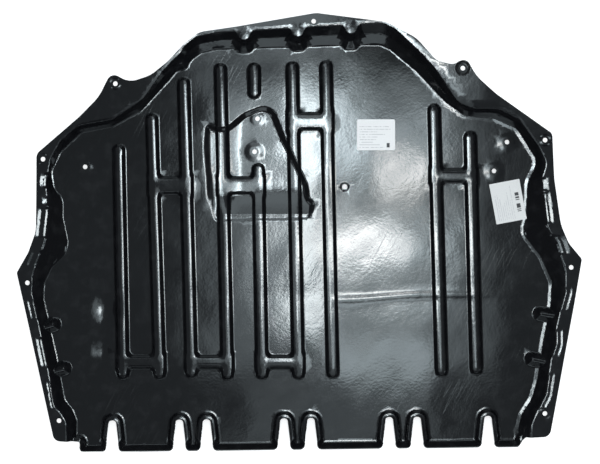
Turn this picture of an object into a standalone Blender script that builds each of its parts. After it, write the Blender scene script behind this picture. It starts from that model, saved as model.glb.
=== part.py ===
"""Engine splash shield: one thermoformed plastic tray, lying on its underside, with two paper stickers.

Sizes are in millimetres and become metres when a mesh is made. +Y is the front edge of the shield,
+X its right-hand side seen from above, and +Z points up, into the engine bay. Heights are measured
from the upper face of the flat floor, and the whole shield is then lifted onto the ground plane.
"""

import math

import bpy
import numpy as np
from mathutils.geometry import delaunay_2d_cdt

METRES = 0.001

# Reach of the whole shield
HALF_WIDTH = 475.5
FRONT_POINT_Y = 369.0

# Sheet, and the levels of the tray over its flat floor
SHEET = 2.5
RECESS_DEPTH = 7.0
SIDE_FLANGE_HEIGHT = 22.0
FRONT_FLANGE_RISE = 18.0
FRONT_RISE_START_Y = 80.0
FRONT_RISE_END_Y = 330.0
CREASE_Y = -103.0
REAR_FLOOR_ANGLE = math.radians(4.0)
REAR_FLANGE_RISE = 10.0
REAR_RISE_LENGTH = 260.0

# Rear edge, cut into fingers by round-topped notches
REAR_EDGE_LEFT = (-370.0, -368.0)
REAR_EDGE_RIGHT = (370.0, -359.0)
NOTCH_CENTRES = (-315.0, -202.0, -156.0, -25.5, 20.0, 152.0, 199.0, 318.5)
NOTCH_DEPTH = 52.5
NOTCH_TOP_WIDTH = 12.0
NOTCH_MOUTH_WIDTH = 24.0
FINGER_CORNER_RADIUS = 6.0
REAR_WALL_HEIGHT = 12.0
REAR_WALL_LAND = 3.5
REAR_WALL_WIDTH = 12.5

# Ribs pressed up into the floor
RIB_HEIGHT = 10.0
RIB_BASE_WIDTH = 24.0
RIB_TOP_WIDTH = 10.0
# Each rib runs from its front end to its rear end
RIBS = {
    "far left": ((-306.0, 151.0), (-298.0, -247.0)),
    "left": ((-250.0, 203.0), (-236.0, -247.0)),
    "left front": ((-196.0, 264.0), (-182.0, -245.0)),
    "recess left": ((-133.5, 288.0), (-121.0, -248.0)),
    "short": ((-76.5, 289.0), (-76.0, 228.0)),
    "recess middle": ((-69.5, 119.0), (-62.5, -247.0)),
    "middle": ((-12.0, 291.0), (-1.0, -247.0)),
    "middle right": ((45.0, 293.0), (57.0, -245.0)),
    "right": ((228.0, 219.0), (241.0, -242.0)),
    "far right": ((289.0, 173.0), (300.0, -239.0)),
}
# Each crossbar joins two ribs: their names, its own y, top width and base width
WIDE_BAR_TOP = 16.0
WIDE_BAR_BASE = 31.0
NARROW_BAR_TOP = 8.5
NARROW_BAR_BASE = 24.0
FRONT_BARS_Y = 190.0
MIDDLE_BARS_Y = 81.5
RIGHT_BAR_Y = 98.0
REAR_BARS_Y = -217.5
CROSSBARS = (
    ("left", "left front", MIDDLE_BARS_Y, WIDE_BAR_TOP, WIDE_BAR_BASE),
    ("recess left", "recess middle", MIDDLE_BARS_Y, WIDE_BAR_TOP, WIDE_BAR_BASE),
    ("middle", "middle right", FRONT_BARS_Y, WIDE_BAR_TOP, WIDE_BAR_BASE),
    ("right", "far right", RIGHT_BAR_Y, NARROW_BAR_TOP, NARROW_BAR_BASE),
    ("far left", "left", REAR_BARS_Y, NARROW_BAR_TOP, NARROW_BAR_BASE),
    ("left front", "recess left", REAR_BARS_Y, NARROW_BAR_TOP, NARROW_BAR_BASE),
    ("recess middle", "middle", REAR_BARS_Y, NARROW_BAR_TOP, NARROW_BAR_BASE),
)

# Short stiffeners that run from the side walls into the floor, from inner end to outer end
STIFFENER_HEIGHT = 14.0
STIFFENER_BASE_WIDTH = 23.0
STIFFENER_TOP_WIDTH = 5.0
STIFFENERS = (
    ((397.0, -134.0), (437.0, -140.0)),
    ((383.0, -210.0), (427.0, -219.0)),
    ((-405.0, -151.0), (-441.0, -161.0)),
    ((-387.0, -225.0), (-424.0, -235.0)),
)

# Holes for fixings: x, y, and how deep the metal-clip seat round the hole is pressed down
HOLE_DIAMETER = 8.0
SEAT_DIAMETER = 16.0
SEAT_OUTER_DIAMETER = 26.0
SIDE_HOLE_INSET = 18.0
FLANGE_HOLES = (
    (-308.0, 251.0, 0.0),
    (24.0, 355.0, 0.0),
    (274.0, 277.0, 3.0),
    (413.0, 157.0, 0.0),
    (HALF_WIDTH - SIDE_HOLE_INSET, -57.0, 0.0),
    (412.0, -302.0, 0.0),
    (-403.0, -314.0, 0.0),
    (SIDE_HOLE_INSET - HALF_WIDTH, -83.0, 0.0),
    (-431.0, 125.0, 0.0),
)
FLOOR_HOLES = (
    (-363.0, 113.0, 1.5),
    (-76.0, 139.0, 1.5),
    (-71.0, 195.0, 1.5),
    (77.0, 79.0, 1.5),
    (330.0, 106.0, 1.5),
    (352.0, 155.0, 1.5),
)

# Sump recess, pressed down into the floor; its upper edge as x, y, corner radius
RECESS_WALL_WIDTH = 11.0
RECESS_EDGE = (
    (-160.0, 194.0, 12.0),
    (-130.0, 174.0, 20.0),
    (-94.0, 204.0, 30.0),
    (-48.0, 222.0, 24.0),
    (-25.0, 164.0, 60.0),
    (14.0, 84.0, 40.0),
    (17.0, 60.0, 12.0),
    (28.0, 52.0, 8.0),
    (22.0, 24.0, 8.0),
    (-144.0, 18.0, 10.0),
    (-157.0, 60.0, 60.0),
    (-164.0, 150.0, 60.0),
)

# Pan of the tray: the line where the floor meets the rim wall, as x, y, corner radius
WALL_BASE_BEND = 22.0
WALL_BASE_FRONT = (
    (-421.0, 104.0),
    (-405.0, 138.0),
    (-370.0, 170.0),
    (-318.0, 180.0),
    (-268.0, 208.0),
    (-219.0, 262.0),
    (-206.0, 278.0),
    (-191.0, 277.0),
    (-186.0, 292.0),
    (-166.0, 307.0),
    (-138.0, 313.0),
)
WALL_BASE_SIDES = (
    (136.0, 321.0),
    (156.0, 312.0),
    (202.0, 273.0),
    (248.0, 223.0),
    (280.0, 200.0),
    (330.0, 196.0),
    (369.0, 178.0),
    (403.0, 124.0),
    (398.0, 107.0),
    (388.0, 88.0),
    (387.0, 60.0),
    (385.0, 24.0),
    (379.0, 2.0),
    (410.0, -38.0),
    (429.0, -82.0),
    (427.0, -118.0),
    (414.0, -181.0),
    (403.0, -250.0),
    (394.0, -280.0),
    (377.0, -306.0),
    (371.0, -331.0),
)
WALL_BASE_LEFT = (
    (-377.0, -317.0),
    (-384.0, -299.0),
    (-398.0, -282.0),
    (-409.0, -223.0),
    (-426.0, -146.0),
    (-434.0, -112.0),
    (-433.0, -84.0),
    (-420.0, -56.0),
    (-397.0, -34.0),
    (-393.0, -16.0),
    (-402.0, 28.0),
    (-402.0, 60.0),
    (-416.0, 74.0),
)

# Upper edge of the rim wall, where it turns into the flange
WALL_TOP_FRONT = (
    (-425.0, 90.0),
    (-417.0, 128.0),
    (-402.0, 154.0),
    (-370.0, 182.0),
    (-312.0, 192.0),
    (-262.0, 225.0),
    (-230.0, 270.0),
    (-212.0, 290.0),
    (-197.0, 303.0),
    (-194.0, 312.0),
    (-172.0, 330.0),
    (-138.0, 337.0),
)
WALL_TOP_SIDES = (
    (138.0, 353.0),
    (160.0, 343.0),
    (205.0, 301.0),
    (227.0, 277.0),
    (266.0, 220.0),
    (290.0, 211.0),
    (334.0, 210.0),
    (368.0, 193.0),
    (402.0, 146.0),
    (416.0, 118.0),
    (407.0, 92.0),
    (412.0, 50.0),
    (417.0, 10.0),
    (434.0, -18.0),
    (448.0, -66.0),
    (442.0, -112.0),
    (425.0, -181.0),
    (410.0, -272.0),
    (397.0, -297.0),
    (388.0, -322.0),
)
WALL_TOP_LEFT = (
    (-390.0, -317.0),
    (-397.0, -304.0),
    (-410.0, -290.0),
    (-422.0, -223.0),
    (-439.0, -144.0),
    (-449.0, -100.0),
    (-448.0, -68.0),
    (-434.0, -32.0),
    (-420.0, -4.0),
    (-421.0, 31.0),
    (-426.0, 60.0),
)
# Both lines leave the tray over its rear edge, where the notched wall takes over
OPEN_REAR_Y = REAR_EDGE_LEFT[1] - 62.0

# Half-round buttresses in the front wall, as shifts of both lines towards the floor
BUTTRESS_CENTRES = (-92.0, -2.0, 87.0)
BUTTRESS_BASE_WIDTH = 34.0
BUTTRESS_TOP_WIDTH = 42.0
BUTTRESS_BASE_DEPTH = 9.0
BUTTRESS_TOP_DEPTH = 7.0
BUTTRESS_RADIUS = 8.0

# Outline of the shield from its left corner round the front to its right corner: x, y, corner radius
OUTLINE_FRONT = (
    (-442.0, 134.0, 14.0),
    (-369.0, 196.0, 80.0),
    (-336.0, 229.0, 60.0),
    (-315.0, 270.0, 13.0),
    (-285.0, 253.0, 30.0),
    (-249.0, 265.0, 40.0),
    (-220.0, 288.0, 60.0),
    (-192.0, 318.0, 40.0),
    (-168.0, 337.0, 30.0),
    (-106.0, 346.0, 80.0),
    (28.0, FRONT_POINT_Y, 24.0),
    (145.0, 354.0, 40.0),
    (196.0, 327.0, 40.0),
    (230.0, 289.0, 18.0),
    (256.0, 283.0, 16.0),
    (281.0, 291.0, 12.0),
    (296.0, 264.0, 60.0),
    (330.0, 234.0, 80.0),
    (425.0, 168.0, 10.0),
    (429.0, 92.0, 80.0),
    (440.0, 15.0, 60.0),
    (453.0, -16.0, 30.0),
    (HALF_WIDTH, -43.0, 6.0),
    (462.0, -122.0, 200.0),
    (420.0, -341.0, 13.0),
)
OUTLINE_LEFT = (
    (-411.0, -348.0, 12.0),
    (-HALF_WIDTH, -66.0, 6.0),
    (-456.0, -32.0, 30.0),
    (-443.0, 4.0, 40.0),
)
CORNER_STEP_RADIUS = 5.0
RIGHT_STEP = (380.0, -343.0)
LEFT_STEP = (-369.0, -351.0)

# Stickers: centre, width, length, turn; they lie on the flat floor
STICKER_THICKNESS = 0.5
STICKER_GAP = 0.3
FRONT_STICKER_CENTRE = (130.0, 167.0)
FRONT_STICKER_SIZE = (64.5, 52.0)
FRONT_STICKER_CORNER = 4.0
FRONT_STICKER_TURN = 0.0
SIDE_STICKER_CENTRE = (349.5, 54.0)
SIDE_STICKER_SIZE = (51.5, 69.0)
SIDE_STICKER_CORNER = 1.0
SIDE_STICKER_TURN = math.radians(10.6)

# Fineness of the faceted surface
ARC_STEP = math.radians(24.0)
LONGEST_RUN = 48.0
FINE_RUN = 4.0
STRAIGHT_WITHIN = 0.04
HOLE_SIDES = 12
POINT_MERGE = 0.3


def rounded_path(corners, closed=True):
    """Points of a path whose corners (x, y, radius) are rounded, with long straight runs divided."""
    points = []
    count = len(corners)
    for index, (x, y, radius) in enumerate(corners):
        here = np.array((x, y))
        if not closed and index in (0, count - 1):
            points.append(here)
            continue
        arriving = here - np.array(corners[index - 1][:2])
        leaving = np.array(corners[(index + 1) % count][:2]) - here
        room = 0.49 * min(np.hypot(*arriving), np.hypot(*leaving))
        arriving = arriving / np.hypot(*arriving)
        leaving = leaving / np.hypot(*leaving)
        turn = math.atan2(
            arriving[0] * leaving[1] - arriving[1] * leaving[0],
            float(arriving @ leaving),
        )
        half_turn = max(math.tan(abs(turn) / 2), 1e-6)
        reach = min(radius * half_turn, room)
        side = np.array((-arriving[1], arriving[0])) * math.copysign(1.0, turn)
        start = here - arriving * reach
        centre = start + side * reach / half_turn
        spoke = start - centre
        steps = max(1, math.ceil(abs(turn) / ARC_STEP))
        for step in range(steps + 1):
            points.append(centre + turned(spoke, turn * step / steps))
    return divided(np.array(points), closed)


def turned(vector, angle):
    """A plane vector turned anticlockwise by an angle."""
    cosine, sine = math.cos(angle), math.sin(angle)
    return np.array((vector[0] * cosine - vector[1] * sine, vector[0] * sine + vector[1] * cosine))


def divided(points, closed, longest=LONGEST_RUN):
    """A path without doubled points and with no straight run over the longest one."""
    ends = np.roll(points, -1, axis=0)
    result = []
    for index, (start, end) in enumerate(zip(points, ends)):
        length = np.hypot(*(end - start))
        last = not closed and index == len(points) - 1
        if last or length > POINT_MERGE:
            result.append(start)
        if last:
            break
        pieces = math.ceil(length / longest)
        result.extend(start + (end - start) * piece / pieces for piece in range(1, pieces))
    return np.array(result)


def circle(centre_x, centre_y, diameter):
    """A ring of points round a centre."""
    angles = np.arange(HOLE_SIDES) * math.tau / HOLE_SIDES
    ring = np.column_stack((np.cos(angles), np.sin(angles)))
    return ring * diameter / 2 + (centre_x, centre_y)


def bar_outline(front, rear, width):
    """The long outline with round ends about the line from one end point to the other."""
    start, end = np.array(front), np.array(rear)
    along = (end - start) / np.hypot(*(end - start))
    steps = round(math.pi / ARC_STEP)
    points = []
    for centre, first in ((end, -math.pi / 2), (start, math.pi / 2)):
        for step in range(steps + 1):
            spoke = turned(along, first + math.pi * step / steps)
            points.append(centre + spoke * width / 2)
    return divided(np.array(points), True)


def distance_to(points, path, closed=True):
    """Shortest distance from each point to a path."""
    start = path if closed else path[:-1]
    end = np.roll(path, -1, axis=0) if closed else path[1:]
    along = end - start
    squared = (along**2).sum(axis=1)
    result = np.empty(len(points))
    for first in range(0, len(points), 4000):
        offset = points[first : first + 4000, None, :] - start
        share = np.clip((offset * along).sum(axis=2) / squared, 0.0, 1.0)
        gap = offset - share[..., None] * along
        result[first : first + 4000] = np.sqrt((gap**2).sum(axis=2).min(axis=1))
    return result


def is_inside(points, loop):
    """Which of the points lie inside a closed loop."""
    x, y = points[:, :1], points[:, 1:]
    start_x, start_y = loop.T
    end_x, end_y = np.roll(loop, -1, axis=0).T
    rise = np.where(end_y == start_y, 1.0, end_y - start_y)
    crosses = (start_y > y) != (end_y > y)
    crossing_x = start_x + (y - start_y) * (end_x - start_x) / rise
    return (crosses & (x < crossing_x)).sum(axis=1) % 2 == 1


def inset_runs(path, distance, closed):
    """A clockwise path moved inwards, as runs cut where the moved line would come too near it."""
    path = divided(path, closed, FINE_RUN)
    before = np.roll(path, 1, axis=0)
    after = np.roll(path, -1, axis=0)
    if not closed:
        before[0] = path[0]
        after[-1] = path[-1]
    along = after - before
    along = along / np.hypot(along[:, 0], along[:, 1])[:, None]
    moved = path + np.column_stack((along[:, 1], -along[:, 0])) * distance
    kept = distance_to(moved, path, closed) > distance * 0.97
    runs = [[]]
    for point, keep in zip(moved, kept):
        if keep:
            runs[-1].append(point)
        elif runs[-1]:
            runs.append([])
    if closed and kept.all():
        return [(without_straight_points(runs[0]), True)]
    return [(without_straight_points(run), False) for run in runs if len(run) > 1]


def without_straight_points(run):
    """A run that keeps only its ends and the points where it bends."""
    kept = [run[0]]
    for here, after in zip(run[1:-1], run[2:]):
        arriving, leaving = here - kept[-1], after - here
        bend = abs(arriving[0] * leaving[1] - arriving[1] * leaving[0])
        if bend > STRAIGHT_WITHIN * np.hypot(*arriving) * np.hypot(*leaving):
            kept.append(here)
    return divided(np.array(kept + [run[-1]]), False)


def rear_edge_corners():
    """Corners of the notched rear edge, from the right-hand tab to the left-hand one."""
    left, right = np.array(REAR_EDGE_LEFT), np.array(REAR_EDGE_RIGHT)
    slope = (right[1] - left[1]) / (right[0] - left[0])
    corners = [(*RIGHT_STEP, CORNER_STEP_RADIUS), (*REAR_EDGE_RIGHT, FINGER_CORNER_RADIUS)]
    for centre in reversed(NOTCH_CENTRES):
        bottom = left[1] + slope * (centre - left[0])
        top = bottom + NOTCH_DEPTH
        corners.append((centre + NOTCH_MOUTH_WIDTH / 2, bottom, FINGER_CORNER_RADIUS))
        corners.append((centre + NOTCH_TOP_WIDTH / 2, top, NOTCH_TOP_WIDTH / 2))
        corners.append((centre - NOTCH_TOP_WIDTH / 2, top, NOTCH_TOP_WIDTH / 2))
        corners.append((centre - NOTCH_MOUTH_WIDTH / 2, bottom, FINGER_CORNER_RADIUS))
    corners += [(*REAR_EDGE_LEFT, FINGER_CORNER_RADIUS), (*LEFT_STEP, CORNER_STEP_RADIUS)]
    return corners


def buttressed(width, depth, start, end):
    """Corners of a front line between two points, with a bulge towards the floor at each buttress."""
    slope = (end[1] - start[1]) / (end[0] - start[0])
    corners = []
    for centre in BUTTRESS_CENTRES:
        for side, share, inset in ((-1, 1.0, 0.0), (-1, 0.5, depth), (1, 0.5, depth), (1, 1.0, 0.0)):
            x = centre + side * share * width / 2
            y = start[1] + slope * (x - start[0]) - inset
            corners.append((x, y, BUTTRESS_RADIUS))
    return corners


def rim_line(left, front, sides, width, depth):
    """One closed line of the rim wall, clockwise, open past the rear edge."""
    bent = [[(x, y, WALL_BASE_BEND) for x, y in part] for part in (left, front, sides)]
    rear = [(sides[-1][0], OPEN_REAR_Y, 1.0), (left[0][0], OPEN_REAR_Y, 1.0)]
    bulges = buttressed(width, depth, front[-1], sides[0])
    return rounded_path(bent[0] + bent[1] + bulges + bent[2] + rear)


WALL_BASE = rim_line(
    WALL_BASE_LEFT, WALL_BASE_FRONT, WALL_BASE_SIDES, BUTTRESS_BASE_WIDTH, BUTTRESS_BASE_DEPTH
)
WALL_TOP = rim_line(
    WALL_TOP_LEFT, WALL_TOP_FRONT, WALL_TOP_SIDES, BUTTRESS_TOP_WIDTH, BUTTRESS_TOP_DEPTH
)
RECESS = rounded_path(RECESS_EDGE)
REAR_EDGE = rounded_path(
    [OUTLINE_FRONT[-1]] + rear_edge_corners() + [OUTLINE_LEFT[0]], closed=False
)
OUTLINE = rounded_path(list(OUTLINE_FRONT) + rear_edge_corners() + list(OUTLINE_LEFT))


def round_bars():
    """The bars with round ends: two end centres, top width, base width and height of each."""
    found = []
    for front, rear in RIBS.values():
        along = np.array(rear) - np.array(front)
        inset = along / np.hypot(*along) * RIB_BASE_WIDTH / 2
        ends = (np.array(front) + inset, np.array(rear) - inset)
        found.append((*ends, RIB_TOP_WIDTH, RIB_BASE_WIDTH, RIB_HEIGHT))
    for inner, outer in STIFFENERS:
        along = np.array(outer) - np.array(inner)
        inset = along / np.hypot(*along) * STIFFENER_BASE_WIDTH / 2
        ends = (np.array(inner) + inset, np.array(outer))
        found.append((*ends, STIFFENER_TOP_WIDTH, STIFFENER_BASE_WIDTH, STIFFENER_HEIGHT))
    return found


def crossbars():
    """The crossbars, each from one rib's centre line to the next: left x, right x, y and widths."""
    return [
        (rib_x(first, y), rib_x(second, y), y, top_width, base_width)
        for first, second, y, top_width, base_width in CROSSBARS
    ]


def rib_x(name, y):
    """Where a rib's centre line crosses a given y."""
    front, rear = RIBS[name]
    return front[0] + (rear[0] - front[0]) * (y - front[1]) / (rear[1] - front[1])


ROUND_BARS = round_bars()


def smooth(share):
    """A rise from 0 to 1 that starts and ends level."""
    share = np.clip(share, 0.0, 1.0)
    return share * share * (3.0 - 2.0 * share)


def floor_height(points):
    """The floor: flat in front of the crease, rising to the rear behind it, lower in the recess."""
    rise = np.maximum(CREASE_Y - points[:, 1], 0.0) * math.tan(REAR_FLOOR_ANGLE)
    depth = np.where(is_inside(points, RECESS), distance_to(points, RECESS), 0.0)
    return rise - RECESS_DEPTH * np.clip(depth / RECESS_WALL_WIDTH, 0.0, 1.0)


def flange_height(points):
    """The flange: level along the sides, rising towards the front and towards the rear."""
    y = points[:, 1]
    front = smooth((y - FRONT_RISE_START_Y) / (FRONT_RISE_END_Y - FRONT_RISE_START_Y))
    rear = smooth((CREASE_Y - y) / REAR_RISE_LENGTH)
    return SIDE_FLANGE_HEIGHT + FRONT_FLANGE_RISE * front + REAR_FLANGE_RISE * rear


def rim_share(points):
    """0 on the floor, 1 on the flange, and the way up the rim wall between its two lines."""
    to_base = distance_to(points, WALL_BASE)
    to_top = distance_to(points, WALL_TOP)
    share = to_base / (to_base + to_top)
    share = np.where(is_inside(points, WALL_BASE), 0.0, share)
    return np.where(is_inside(points, WALL_TOP), share, 1.0)


def bar_height(points):
    """How far the ribs, crossbars and stiffeners stand over the floor."""
    height = np.zeros(len(points))
    for start, end, top_width, base_width, full_height in ROUND_BARS:
        distance = distance_to(points, np.array((start, end)), closed=False)
        share = (base_width / 2 - distance) / ((base_width - top_width) / 2)
        height = np.maximum(height, full_height * np.clip(share, 0.0, 1.0))
    for left, right, y, top_width, base_width in crossbars():
        distance = np.abs(points[:, 1] - y)
        share = (base_width / 2 - distance) / ((base_width - top_width) / 2)
        between = (points[:, 0] > left) & (points[:, 0] < right)
        height = np.maximum(height, between * RIB_HEIGHT * np.clip(share, 0.0, 1.0))
    return height


def rear_wall_height(points):
    """How far the wall along the notched rear edge stands over the floor."""
    distance = distance_to(points, REAR_EDGE, closed=False)
    share = (REAR_WALL_WIDTH - distance) / (REAR_WALL_WIDTH - REAR_WALL_LAND)
    return REAR_WALL_HEIGHT * np.clip(share, 0.0, 1.0)


def seated(points, height, x, y, level):
    """The height with a flat seat pressed in round one hole."""
    distance = np.hypot(points[:, 0] - x, points[:, 1] - y)
    share = (SEAT_OUTER_DIAMETER / 2 - distance) / ((SEAT_OUTER_DIAMETER - SEAT_DIAMETER) / 2)
    return height + (level - height) * np.clip(share, 0.0, 1.0)


def upper_height(points):
    """Height of the tray's upper face over its flat floor."""
    floor = floor_height(points)
    raised = floor + np.maximum(bar_height(points), rear_wall_height(points))
    share = rim_share(points)
    height = np.maximum(floor + (flange_height(points) - floor) * share, raised)
    for x, y, sink in FLANGE_HOLES:
        height = seated(points, height, x, y, flange_height(np.array([(x, y)]))[0] - sink)
    for x, y, sink in FLOOR_HOLES:
        height = seated(points, height, x, y, -sink)
    return height


def lower_height(points):
    """Height of the underside: a ball as wide as the sheet is thick, rolled along the upper face."""
    height = upper_height(points) - SHEET
    for share in (0.5, 0.8, 0.95):
        drop = SHEET * math.sqrt(1.0 - share * share)
        for step in range(12):
            shift = turned((SHEET * share, 0.0), math.tau * step / 12)
            height = np.minimum(height, upper_height(points + shift) - drop)
    return height


def guide_lines():
    """Every line that the surface folds along, as (path, closed)."""
    reach = 2 * abs(OPEN_REAR_Y)
    lines = [(np.array(((-reach, CREASE_Y), (reach, CREASE_Y))), False)]
    lines += [(WALL_BASE, True), (WALL_TOP, True), (RECESS, True)]
    lines += inset_runs(RECESS, RECESS_WALL_WIDTH, True)
    lines += inset_runs(REAR_EDGE, REAR_WALL_LAND, False)
    lines += inset_runs(REAR_EDGE, REAR_WALL_WIDTH, False)
    for start, end, top_width, base_width, _ in ROUND_BARS:
        lines.append((bar_outline(start, end, base_width), True))
        lines.append((bar_outline(start, end, top_width), True))
        lines.append((np.array((start, end)), False))
    for left, right, y, top_width, base_width in crossbars():
        for shift in (-base_width / 2, -top_width / 2, 0.0, top_width / 2, base_width / 2):
            lines.append((np.array(((left, y + shift), (right, y + shift))), False))
    for x, y, _ in FLANGE_HOLES + FLOOR_HOLES:
        lines.append((circle(x, y, SEAT_DIAMETER), True))
        lines.append((circle(x, y, SEAT_OUTER_DIAMETER), True))
    return lines


def plan_triangles():
    """The tray's plan as points and triangles that keep to its outline, holes and guide lines."""
    holes = [circle(x, y, HOLE_DIAMETER) for x, y, _ in FLANGE_HOLES + FLOOR_HOLES]
    points, edges = [], []
    for path, closed in [(OUTLINE, True)] + [(hole, True) for hole in holes] + guide_lines():
        first = len(points)
        points.extend(path.tolist())
        edges.extend((index, index + 1) for index in range(first, len(points) - 1))
        if closed:
            edges.append((len(points) - 1, first))
    points, _, faces, *_ = delaunay_2d_cdt(points, edges, [], 0, POINT_MERGE)
    points, faces = np.array(points), np.array(faces)
    middles = points[faces].mean(axis=1)
    kept = is_inside(middles, OUTLINE)
    for hole in holes:
        kept &= ~is_inside(middles, hole)
    used, faces = np.unique(faces[kept], return_inverse=True)
    return points[used], faces.reshape(-1, 3)


def border_edges(faces):
    """The directed edges that only one triangle has."""
    directed = {(a, b) for face in faces.tolist() for a, b in zip(face, face[1:] + face[:1])}
    return sorted(edge for edge in directed if edge[::-1] not in directed)


def build_shield():
    """The tray: its upper face, its underside, and the cut edge between them."""
    points, faces = plan_triangles()
    ground = RECESS_DEPTH + SHEET
    upper = np.column_stack((points, upper_height(points) + ground))
    lower = np.column_stack((points, lower_height(points) + ground))
    count = len(points)
    underside = faces[:, ::-1] + count
    walls = [(b, a, a + count, b + count) for a, b in border_edges(faces)]
    mesh = bpy.data.meshes.new("shield")
    corners = np.concatenate((upper, lower)) * METRES
    mesh.from_pydata(corners.tolist(), [], faces.tolist() + underside.tolist() + walls)
    return add_object("shield", mesh, black_plastic())


def build_sticker(name, centre, size, corner, turn):
    """A thin paper sticker with rounded corners, lying flat on the floor."""
    half_width, half_length = size[0] / 2, size[1] / 2
    corners = ((-half_width, -half_length), (half_width, -half_length))
    corners += ((half_width, half_length), (-half_width, half_length))
    outline = [turned(point, turn) for point in rounded_path([(*point, corner) for point in corners])]
    bottom = RECESS_DEPTH + SHEET + STICKER_GAP
    count = len(outline)
    points = []
    for height in (bottom, bottom + STICKER_THICKNESS):
        points += [((x + centre[0]), (y + centre[1]), height) for x, y in outline]
    faces = [tuple(range(count))[::-1], tuple(range(count, 2 * count))]
    for index in range(count):
        after = (index + 1) % count
        faces.append((index, after, after + count, index + count))
    mesh = bpy.data.meshes.new(name)
    mesh.from_pydata((np.array(points) * METRES).tolist(), [], faces)
    return add_object(name, mesh, white_paper(name))


def add_object(name, mesh, material):
    """An object for a mesh, smooth over its gentle folds, in one material."""
    mesh.materials.append(material)
    mesh.shade_smooth()
    mesh.set_sharp_from_angle(angle=math.radians(30.0))
    part = bpy.data.objects.new(name, mesh)
    bpy.context.scene.collection.objects.link(part)
    return part


def plain_material(name, colour, roughness):
    """A material of one colour and roughness."""
    material = bpy.data.materials.new(name)
    material.use_nodes = True
    shader = material.node_tree.nodes["Principled BSDF"]
    shader.inputs["Base Color"].default_value = (*colour, 1.0)
    shader.inputs["Roughness"].default_value = roughness
    shader.inputs["Metallic"].default_value = 0.0
    return material


def black_plastic():
    """Glossy black polyethylene."""
    return plain_material("black_plastic", (0.012, 0.013, 0.015), 0.22)


def white_paper(name):
    """Coated white label paper."""
    return plain_material(name + "_paper", (0.82, 0.82, 0.82), 0.5)


def clear_scene():
    """Removes every object that the scene starts with."""
    for thing in list(bpy.data.objects):
        bpy.data.objects.remove(thing, do_unlink=True)


def main():
    """Builds the shield and its two stickers."""
    clear_scene()
    build_shield()
    build_sticker(
        "front_sticker",
        FRONT_STICKER_CENTRE,
        FRONT_STICKER_SIZE,
        FRONT_STICKER_CORNER,
        FRONT_STICKER_TURN,
    )
    build_sticker(
        "side_sticker",
        SIDE_STICKER_CENTRE,
        SIDE_STICKER_SIZE,
        SIDE_STICKER_CORNER,
        SIDE_STICKER_TURN,
    )


main()
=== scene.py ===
"""Looks of an engine splash shield: a glossy black pressed tray that carries two paper stickers.

The tray lies on its underside and is seen from straight above. Its blank is one flat face, cut by
planes into cells, subdivided where the sheet bends, pressed to its form and given its thickness.
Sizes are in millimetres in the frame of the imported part, and become metres when a mesh is made.
"""

import logging
import math
from collections.abc import Callable, Iterable, Sequence
from dataclasses import dataclass
from enum import Enum
from functools import cached_property

import bmesh
import bpy
import numpy as np
from mathutils import Matrix, Vector

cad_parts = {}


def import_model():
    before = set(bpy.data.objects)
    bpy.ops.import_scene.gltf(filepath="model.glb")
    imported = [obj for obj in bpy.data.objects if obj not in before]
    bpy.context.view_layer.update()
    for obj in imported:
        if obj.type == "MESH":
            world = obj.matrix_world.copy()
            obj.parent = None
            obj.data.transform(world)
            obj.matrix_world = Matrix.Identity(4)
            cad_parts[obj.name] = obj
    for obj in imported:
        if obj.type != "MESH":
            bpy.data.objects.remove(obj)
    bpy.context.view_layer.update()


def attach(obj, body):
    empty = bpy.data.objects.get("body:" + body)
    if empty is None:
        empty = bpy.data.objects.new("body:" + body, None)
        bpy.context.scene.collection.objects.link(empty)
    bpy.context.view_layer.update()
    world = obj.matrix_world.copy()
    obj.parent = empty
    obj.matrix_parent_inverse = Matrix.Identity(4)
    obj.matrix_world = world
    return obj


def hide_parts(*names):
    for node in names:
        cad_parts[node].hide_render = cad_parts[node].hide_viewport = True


LOG = logging.getLogger("splash_shield")
METRES = 0.001
BODY = "root"
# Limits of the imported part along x, y and z
BOX = ((-475.06, 475.07), (-367.89, 368.54), (0.0, 49.5))
# Name of the layer that carries the form's normals
BEND = "bend"
# Points that are measured at once
BATCH = 20000
# A distance past every edge, for the places that aren't measured
FAR = 1000.0
# Heights, squared lengths and gaps that count as none
LEAST_HEIGHT = 1e-6
LEAST_SQUARE = 1e-9
CUT_GAP = 1e-4
# Share of its shorter side that a corner may round, and the least length worth rounding
CORNER_ROOM = 0.47
LEAST_ROUND = 0.02
SHARP_ANGLE = math.radians(38.0)
# Below this match with the form's normal a face belongs to a cut edge
CUT_COSINE = 0.5
ORIGIN = (0.0, 0.0, 0.0)
WHITE = (1.0, 1.0, 1.0, 1.0)

Corner = tuple[float, float, float]
Place = tuple[float, float]
Colour = tuple[float, float, float]
Heights = float | np.ndarray
Feed = bpy.types.NodeSocket | float | Sequence[float]


class Slot(Enum):
    """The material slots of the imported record."""

    PLASTIC = "black_plastic"
    FRONT_PAPER = "front_sticker_paper"
    SIDE_PAPER = "side_sticker_paper"


def smooth_max(first: np.ndarray, second: np.ndarray, width: float) -> np.ndarray:
    """The larger of two values, its kink rounded where they are less than a width apart."""
    near = np.maximum(width - np.abs(first - second), 0.0)
    return np.maximum(first, second) + near * near / (4.0 * width)


def smooth_min(first: np.ndarray, second: np.ndarray, width: float) -> np.ndarray:
    """The smaller of two values, its kink rounded in the same way."""
    return -smooth_max(-first, -second, width)


def smooth_step(share: np.ndarray) -> np.ndarray:
    """A rise from 0 to 1 that starts and ends level."""
    share = np.clip(share, 0.0, 1.0)
    return share * share * (3.0 - 2.0 * share)


def mix(first: Heights, second: Heights, share: np.ndarray) -> np.ndarray:
    """A value on the way from one to another, by the share of the way."""
    return first + (second - first) * share


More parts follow.
